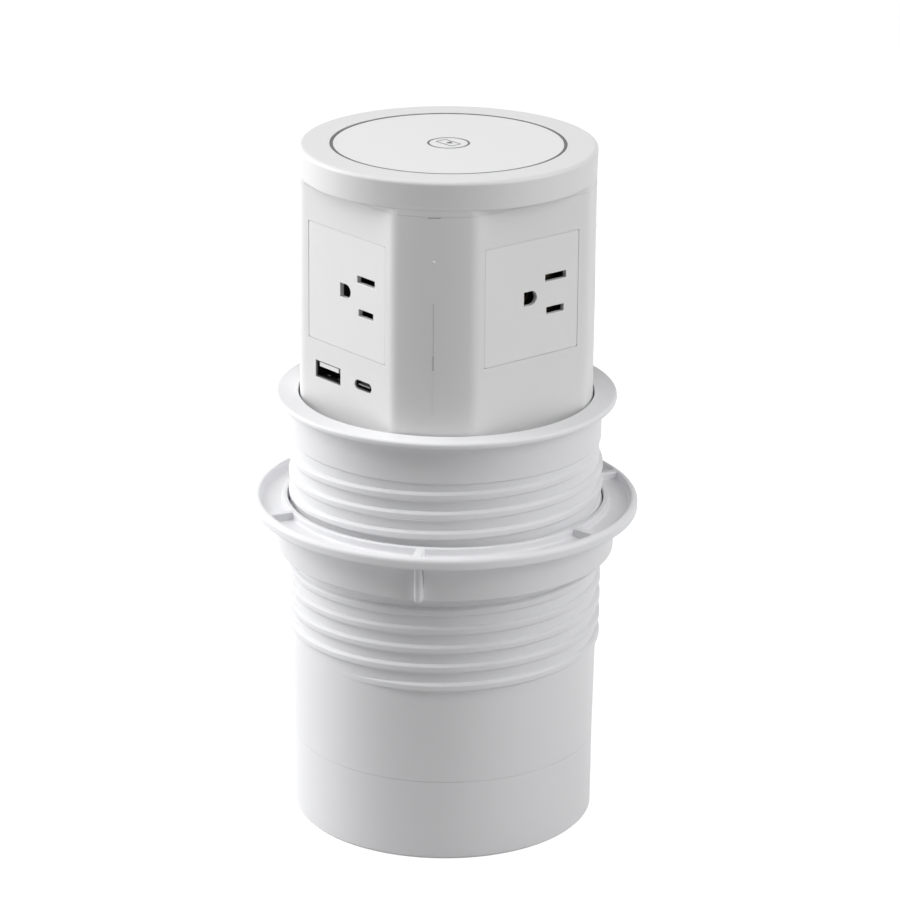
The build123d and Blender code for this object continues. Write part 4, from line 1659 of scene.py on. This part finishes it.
@dataclass
class CapAndPad:
    """The cap, the trim ring, the charging pad with its sign, and the winding under the ceiling."""

    radius: float = 56.0
    foot: float = 55.7
    flat: float = 48.6
    flat_round: float = 8.0
    wall: float = 2.4
    seam_z: float = 253.2
    under_z: float = 255.7
    shelf_z: float = 257.3
    top_z: float = 266.5
    pad_low_z: float = 263.85
    pad_top_z: float = 266.35
    ring_top_z: float = 266.45
    ceiling_z: float = 262.25
    pad_radius: float = 43.2
    ring_width: float = 1.0
    boss_circle: float = 47.8
    boss_radius: float = 3.4
    pilot: float = 1.3
    coil_outer: float = 22.0
    coil_inner: float = 10.5
    coil_wire: float = 1.44
    coil_drop: float = 0.75
    sign_inner: float = 7.2
    sign_outer: float = 8.0
    sign_sunk: float = 0.05
    sign_rise: float = 0.03
    phone_width: float = 9.3
    phone_height: float = 5.2
    phone_line: float = 0.5
    phone_round: float = 0.9
    phone_x: float = -0.25
    phone_y: float = 0.1
    phone_turn: float = 1.5

    def rim(self) -> bpy.types.Mesh:
        """The turned rim with the pad's pocket and the ceiling under it.

        Returns:
            The rim's mesh.
        """
        pocket, inner = self.pad_radius + self.ring_width + 0.15, self.foot - self.wall
        return lathe(rounded([
            (inner, self.under_z, 0.1),
            (self.foot, self.under_z, 0.0),
            (self.radius, self.top_z, 1.5),
            (pocket, self.top_z, 0.2),
            (pocket, self.pad_low_z, 0.0),
            (0.0, self.pad_low_z, 0.0),
            (0.0, self.ceiling_z, 0.0),
            (inner, self.ceiling_z, 0.3),
        ]))

    def skirt(self) -> bpy.types.Mesh:
        """The skirt that carries on the tower's outline, and the shelf between it and the rim.

        Returns:
            The skirt's mesh.
        """
        outer = column_outline(self.foot, self.flat, self.flat_round)
        depth = self.wall
        inner = column_outline(self.foot - depth, self.flat - depth, self.flat_round - depth)[::-1]
        wall = plate([outer, inner], self.seam_z, self.under_z + 1.0, 0.16)
        rim = circle(self.foot - self.wall + 0.4, 160)
        return merged([wall, plate([rim, inner], self.under_z + 0.02, self.shelf_z, 0.1)])

    def cap(self, grower: Grower) -> bpy.types.Mesh:
        """The cap with its rim, skirt and screw bosses.

        Args:
            grower: the Geometry Nodes trees.

        Returns:
            The cap's mesh.
        """
        boss = lathe(rounded([
            (self.pilot, self.seam_z, 0.1), (self.boss_radius, self.seam_z, 0.3),
            (self.boss_radius, self.ceiling_z + 0.3, 0.0), (self.pilot, self.ceiling_z + 0.3, 0.0)]), 32)
        bosses = grower.around(boss, len(CORNERS), CORNERS[1], self.boss_circle)
        return merged([self.rim(), self.skirt(), bosses])

    def pad(self) -> bpy.types.Mesh:
        """The pad's disc."""
        return lathe(rounded([(0.0, self.pad_low_z, 0.0), (self.pad_radius, self.pad_low_z, 0.1),
                              (self.pad_radius, self.pad_top_z, 0.25), (0.0, self.pad_top_z, 0.0)]))

    def sign(self) -> list[bpy.types.Mesh]:
        """The printed sign: a phone's outline with a flash, in a ring, as thin as ink.

        Returns:
            The meshes of ring, phone and flash.
        """
        low, high = self.pad_top_z - self.sign_sunk, self.pad_top_z + self.sign_rise
        near, far = self.sign_inner, self.sign_outer
        ring = lathe([(near, low), (far, low), (far, high), (near, high)], 96)
        width, height, line = self.phone_width, self.phone_height, self.phone_line
        x, y = self.phone_x, self.phone_y
        outer = rectangle(width, height, self.phone_round, x, y)
        inner = rectangle(width - 2 * line, height - 2 * line, self.phone_round - 0.4, x, y)[::-1]
        turn = Matrix.Rotation(math.radians(self.phone_turn), 4, "Z")
        phone = moved(plate([outer, inner], low, high, 0.0), turn)
        flash = [(-1.1, 1.6), (0.2, 1.8), (0.5, 0.7), (1.6, 0.85), (-0.3, -1.6), (0.0, 0.0), (-1.1, -0.15)]
        return [ring, phone, prism(flash, low, high)]

    def trim(self) -> bpy.types.Mesh:
        """The thin ring between pad and cap.

        Returns:
            The ring's mesh.
        """
        inner, outer = self.pad_radius + 0.05, self.pad_radius + self.ring_width
        return lathe(rounded([(inner, self.pad_low_z, 0.1), (outer, self.pad_low_z, 0.1),
                              (outer, self.ring_top_z, 0.15), (inner, self.ring_top_z, 0.15)]))

    def coil(self, grower: Grower) -> bpy.types.Mesh:
        """The flat spiral winding.

        Args:
            grower: the Geometry Nodes trees.

        Returns:
            The winding's mesh.
        """
        return grower.winding({
            "Inner Radius": self.coil_inner + self.coil_wire / 2,
            "Outer Radius": self.coil_outer - self.coil_wire / 2,
            "Wire": self.coil_wire,
        }, self.ceiling_z - self.coil_drop)

    def make(self, grower: Grower, finishes: Finishes) -> None:
        """Build the cap's pieces and set them on the tower.

        Args:
            grower: the Geometry Nodes trees.
            finishes: the materials.
        """
        Piece("rounded_cap", Body.TOWER, "white_shell", ("top_cap",)).place(
            self.cap(grower), finishes["white_shell"])
        sign = painted(merged(self.sign()), 1)
        Piece("pad_with_sign", Body.TOWER, "white_pad", ("charging_pad",)).place(
            merged([self.pad(), sign]), finishes["white_pad"], finishes["ring_grey"])
        Piece("trim_ring", Body.TOWER, "ring_grey", ("pad_ring",)).place(self.trim(), finishes["ring_grey"])
        Piece("coil_winding", Body.TOWER, "copper", ("charging_coil",)).place(
            self.coil(grower), finishes["copper"])


class Head(Enum):
    """The kinds of screw head."""

    ROUND = "round"
    SUNK = "sunk"


@dataclass(frozen=True)
class ScrewSet:
    """Equal screws round the axis.

    Attributes:
        name: the piece's name.
        body: the CAD body that they ride on.
        node: the CAD node that they stand for.
        length: length of a shank.
        head: the kind of head.
        up: whether the shanks point up.
        count: how many screws.
        angle: the first screw's angle, in degrees from +X.
        circle: their distance from the axis.
        height: height of the heads' seats, or of the tops of sunk heads.
    """

    name: str
    body: Body
    node: str
    length: float
    head: Head
    up: bool
    count: int
    angle: float
    circle: float
    height: float


SCREW_SETS = (
    ScrewSet("drive_plate_screws_sunk", Body.BASE, "plate_screws", 12.0, Head.SUNK, False,
             4, 45.0, 46.0, 41.0),
    ScrewSet("tower_base_screws_sunk", Body.TOWER, "tower_base_screws", 12.0, Head.SUNK, True,
             4, 45.0, 48.4, 138.5),
    ScrewSet("cap_screws_round", Body.TOWER, "cap_screws", 10.45, Head.ROUND, True,
             4, 45.0, 47.8, 250.8),
    ScrewSet("nut_screws_round", Body.TOWER, "drive_nut_screws", 5.5, Head.ROUND, False,
             3, 0.0, 10.0, 145.5),
)


@dataclass
class Fasteners:
    """The screws that hold the socket together: round or sunk heads with a cross recess."""

    shank: float = 1.25
    pitch: float = 0.9
    depth: float = 0.12
    pan_radius: float = 2.7
    pan_height: float = 1.9
    sunk_radius: float = 2.6
    recess_depth: float = 1.0
    recess_long: float = 1.45
    recess_wide: float = 0.5
    crown_radius: float = 1.85
    blunt_end: float = 0.8
    bare_end: float = 1.0
    bare_neck: float = 1.2
    foot_depth: float = 0.1
    crest_width: float = 0.1
    foot_width: float = 0.55
    crest_round: float = 0.02
    run_out_turns: float = 0.3
    thread_steps: int = 20

    def recess(self) -> list[Point]:
        """The cross of the driver's recess, clockwise.

        Returns:
            The cross's outline.
        """
        far, near = self.recess_long, self.recess_wide / 2
        turns = [Matrix.Rotation(-side * math.pi / 2, 2) for side in range(4)]
        arm = ((-near, near), (-near, far), (near, far))
        return [tuple(turn @ Vector(point)) for turn in turns for point in arm]

    def blade(self, grower: Grower, length: float) -> bpy.types.Mesh:
        """The shank with its thread, pointing down from the origin.

        Args:
            grower: the Geometry Nodes trees.
            length: length of the shank.

        Returns:
            The shank's mesh.
        """
        core = self.shank - self.depth
        rod = lathe(rounded([
            (0.0, -length, 0.0), (core * 0.6, -length, 0.0), (core, self.blunt_end - length, 0.0),
            (core, -0.4, 0.0), (0.0, -0.4, 0.0)]), 24)
        turns = (length - self.bare_end - self.bare_neck) / self.pitch
        ridge = grower.thread({
            "Radius": core, "Pitch": self.pitch, "Turns": turns, "Ridge Height": self.depth,
            "Foot Depth": self.foot_depth, "Crest Width": self.crest_width, "Foot Width": self.foot_width,
            "Crest Round": self.crest_round, "Run Out Turns": self.run_out_turns,
            "Steps per Turn": self.thread_steps,
        }, self.bare_end - length, 0.0)
        return merged([rod, ridge])

    def head(self, kind: Head) -> bpy.types.Mesh:
        """A head with its recess, whose seat is at the origin, or whose top is if it is sunk.

        Args:
            kind: the kind of head.

        Returns:
            The head's mesh.
        """
        sunk = kind is Head.SUNK
        radius, top = (self.sunk_radius, 0.0) if sunk else (self.pan_radius, self.pan_height)
        disc_low = top - self.recess_depth - 0.1
        if sunk:
            cone = [(0.0, -1.9, 0.0), (self.shank, -1.4, 0.0), (radius - 0.15, -0.15, 0.0),
                    (radius, -0.1, 0.0), (radius - 0.05, -0.02, 0.0), (1.9, -0.02, 0.0),
                    (1.7, disc_low, 0.0), (0.0, disc_low, 0.0)]
        else:
            cone = [(0.0, 0.0, 0.0), (radius, 0.0, 0.1), (radius, top * 0.62, 0.5), (1.9, top - 0.02, 0.0),
                    (1.7, disc_low, 0.0), (0.0, disc_low, 0.0)]
        disc = plate([circle(self.crown_radius, 32), self.recess()], disc_low + 0.05, top, 0.0)
        return merged([lathe(rounded(cone), 32), disc])

    def screw(self, grower: Grower, kind: ScrewSet) -> bpy.types.Mesh:
        """One screw of a set, about the origin.

        Args:
            grower: the Geometry Nodes trees.
            kind: the set.

        Returns:
            The screw's mesh.
        """
        mesh = merged([self.head(kind.head), self.blade(grower, kind.length)])
        return moved(mesh, Matrix.Rotation(math.pi, 4, "X")) if kind.up else mesh

    def make(self, grower: Grower, finishes: Finishes) -> None:
        """Build each set of screws round the axis and set it on its body.

        Args:
            grower: the Geometry Nodes trees.
            finishes: the materials.
        """
        for kind in SCREW_SETS:
            mesh = grower.around(self.screw(grower, kind), kind.count, kind.angle, kind.circle)
            Piece(kind.name, kind.body, "zinc_screw", (kind.node,)).place(
                moved(mesh, at(0.0, 0.0, kind.height)), finishes["zinc_screw"])


@dataclass
class LiftDrive:
    """The lift's lead screw, with its journal, collar and thread."""

    foot_z: float = 29.1
    shoulder_z: float = 41.1
    top_z: float = 154.0
    journal: float = 3.0
    root: float = 3.1
    crest: float = 4.0
    lead: float = 4.0
    collar_height: float = 1.5
    core_start: float = 2.2
    bare_end: float = 1.8
    crest_width: float = 1.3
    foot_width: float = 2.3
    foot_depth: float = 0.25
    crest_round: float = 0.1
    run_out_turns: float = 0.2
    thread_steps: int = 48

    def screw(self, grower: Grower) -> bpy.types.Mesh:
        """The lead screw with its trapezoidal thread.

        Args:
            grower: the Geometry Nodes trees.

        Returns:
            The screw's mesh.
        """
        start_z = self.shoulder_z + self.core_start
        core = lathe(rounded([
            (0.0, self.foot_z, 0.0), (self.journal, self.foot_z, 0.3), (self.journal, self.shoulder_z, 0.0),
            (self.crest, self.shoulder_z, 0.2), (self.crest, self.shoulder_z + self.collar_height, 0.2),
            (self.root, start_z, 0.0), (self.root, self.top_z, 0.5), (0.0, self.top_z, 0.0)]), 64)
        length = self.top_z - self.shoulder_z - self.core_start - self.bare_end
        ridge = grower.thread({
            "Radius": self.root, "Pitch": self.lead, "Turns": length / self.lead,
            "Ridge Height": self.crest - self.root, "Crest Width": self.crest_width,
            "Foot Width": self.foot_width, "Foot Depth": self.foot_depth, "Crest Round": self.crest_round,
            "Run Out Turns": self.run_out_turns, "Steps per Turn": self.thread_steps,
        }, start_z, 0.0)
        return merged([core, ridge])

    def make(self, grower: Grower, finishes: Finishes) -> None:
        """Build the lead screw on its own body."""
        Piece("threaded_lead_screw", Body.SCREW, "steel", ("lead_screw",)).place(
            self.screw(grower), finishes["steel"])


# Studio

@dataclass(frozen=True)
class Lamp:
    """A soft rectangular lamp that looks at the object.

    Attributes:
        name: the lamp's name.
        azimuth: heading from the camera's, in degrees toward the right.
        height: its height over the floor in metres.
        distance: its distance from the axis in metres.
        power: its power in watts.
        size: its width and height in metres.
    """

    name: str
    azimuth: float
    height: float
    distance: float
    power: float
    size: float = 1.0

    def hang(self, camera_azimuth: float, aim_z: float) -> None:
        """Add the lamp to the scene.

        Args:
            camera_azimuth: the camera's heading, in degrees from -Y toward +X.
            aim_z: height of the point that it looks at, in metres.
        """
        data = bpy.data.lights.new(self.name, "AREA")
        data.shape = "RECTANGLE"
        data.size = self.size
        data.size_y = self.size
        data.energy = self.power
        angle = math.radians(camera_azimuth + self.azimuth)
        place = Vector((self.distance * math.sin(angle), -self.distance * math.cos(angle), self.height))
        aim = place - Vector((0.0, 0.0, aim_z))
        turn = aim.to_track_quat("Z", "Y").to_matrix().to_4x4()
        added(self.name, data).matrix_world = Matrix.Translation(place) @ turn


@dataclass(frozen=True)
class Studio:
    """The plain floor, soft lamps and camera of the photograph.

    Attributes:
        azimuth: heading of the camera round the object, in degrees from -Y toward +X.
        pitch: how far the camera looks down, in degrees.
        roll: how far it leans, in degrees.
        place: the camera's place in metres.
        lens: focal length in millimetres.
        sensor: width of the sensor in millimetres.
        aim_z: height of the point that the lamps look at, in metres.
        world_strength: strength of the light from all round.
        floor_tone: linear base colour of the floor.
        floor_glow: how bright the floor looks to the camera, on top of the light on it.
        floor_reach: half the floor's width in metres.
        lamps: the lamps.
    """

    azimuth: float = 50.04
    pitch: float = 19.282
    roll: float = 0.521
    place: tuple[float, float, float] = (1.10478, -0.92366, 0.64886)
    lens: float = 159.41
    sensor: float = 36.0
    aim_z: float = 0.14
    world_strength: float = 0.03
    floor_tone: float = 0.42
    floor_glow: float = 0.9
    floor_reach: float = 12.0
    lamps: tuple[Lamp, ...] = (
        Lamp("lamp_left", -102.0, 0.5, 1.2, 12.0),
        Lamp("lamp_left_high", -100.0, 1.0, 1.0, 5.0),
        Lamp("lamp_above", -60.0, 1.3, 0.6, 5.0),
        Lamp("lamp_front_high", 0.0, 1.6, 0.5, 2.5, 0.7),
        Lamp("lamp_right", 64.0, 0.55, 1.2, 6.0),
        Lamp("lamp_right_high", 75.0, 1.0, 1.0, 5.0),
    )

    def camera(self) -> None:
        """Set the camera at the photograph's viewing angle."""
        data = bpy.data.cameras.new("camera")
        data.lens = self.lens
        data.sensor_width = self.sensor
        data.clip_end = 50.0
        turn, dip, lean = (math.radians(a) for a in (self.azimuth, self.pitch, self.roll))
        heading = Vector((-math.sin(turn), math.cos(turn), 0.0))
        ahead = heading * math.cos(dip) - Vector((0.0, 0.0, math.sin(dip)))
        right = heading.cross(Vector((0.0, 0.0, 1.0))).normalized()
        up = right.cross(ahead)
        leaned_right = right * math.cos(lean) + up * math.sin(lean)
        leaned_up = up * math.cos(lean) - right * math.sin(lean)
        pose = Matrix((leaned_right, leaned_up, -ahead)).transposed().to_4x4()
        thing = added("camera", data)
        thing.matrix_world = Matrix.Translation(self.place) @ pose
        bpy.context.scene.camera = thing

    def white_where_seen(self, build: NodeBuilder) -> bpy.types.NodeSocket:
        """Tell the rays that see a surface or the world from those that only light by it.

        Args:
            build: the builder of the tree.

        Returns:
            1 for rays from the camera, off gloss or through glass, and otherwise 0.
        """
        path = build.node("ShaderNodeLightPath")
        total = path.outputs["Is Camera Ray"]
        for label in ("Is Glossy Ray", "Is Transmission Ray"):
            total = build.math("MAXIMUM", total, path.outputs[label])
        return total

    def world(self) -> None:
        """Light from all round, which looks white where it is seen."""
        made = bpy.data.worlds.new("studio")
        made.use_nodes = True
        build = NodeBuilder(made.node_tree)
        build.tree.nodes.clear()
        back = build.node("ShaderNodeBackground")
        out = build.node("ShaderNodeOutputWorld")
        level = build.spread(self.white_where_seen(build), self.world_strength, 1.0)
        build.feed(level, back.inputs["Strength"])
        build.feed(back.outputs["Background"], out.inputs["Surface"])
        bpy.context.scene.world = made

    def floor(self) -> None:
        """A wide pale floor that keeps the object's shadow."""
        shape = bmesh.new()
        bmesh.ops.create_grid(shape, x_segments=1, y_segments=1, size=self.floor_reach)
        mesh = bpy.data.meshes.new("floor")
        shape.to_mesh(mesh)
        shape.free()
        mesh.transform(Matrix.Translation((0.0, 0.0, -0.0001)))
        make = MaterialBuilder("pale_floor")
        settings = make.shader.inputs
        settings["Base Color"].default_value = (*[self.floor_tone] * 3, 1.0)
        settings["Roughness"].default_value = 0.9
        settings["Specular IOR Level"].default_value = 0.0
        settings["Emission Color"].default_value = (1.0, 1.0, 1.0, 1.0)
        glow = make.math("MULTIPLY", self.white_where_seen(make), self.floor_glow)
        make.feed(glow, settings["Emission Strength"])
        mesh.materials.append(make.material)
        added("floor", mesh)

    def build(self) -> None:
        """Set up the whole studio."""
        bpy.context.scene.view_settings.view_transform = "Standard"
        self.camera()
        self.world()
        self.floor()
        for lamp in self.lamps:
            lamp.hang(self.azimuth, self.aim_z)


def main() -> None:
    logging.basicConfig(level=logging.INFO, format="%(name)s: %(message)s")
    Studio().build()
    finishes = Finishes.build()
    grower = Grower()
    for row in frame["record"]["subparts"]:
        slot = "white_barrel" if row["node"] == "bottom_cup" else row["material_slot"]
        dress(row["node"], finishes[slot])
    ThreadedBarrel().make(grower, finishes)
    ClampNut().make(grower, finishes)
    TowerColumn().make(finishes)
    for side in Side:
        SocketModule(side).make(finishes)
    UsbPorts().make(finishes)
    CapAndPad().make(grower, finishes)
    LiftDrive().make(grower, finishes)
    Fasteners().make(grower, finishes)


if __name__ == "__main__":
    main()
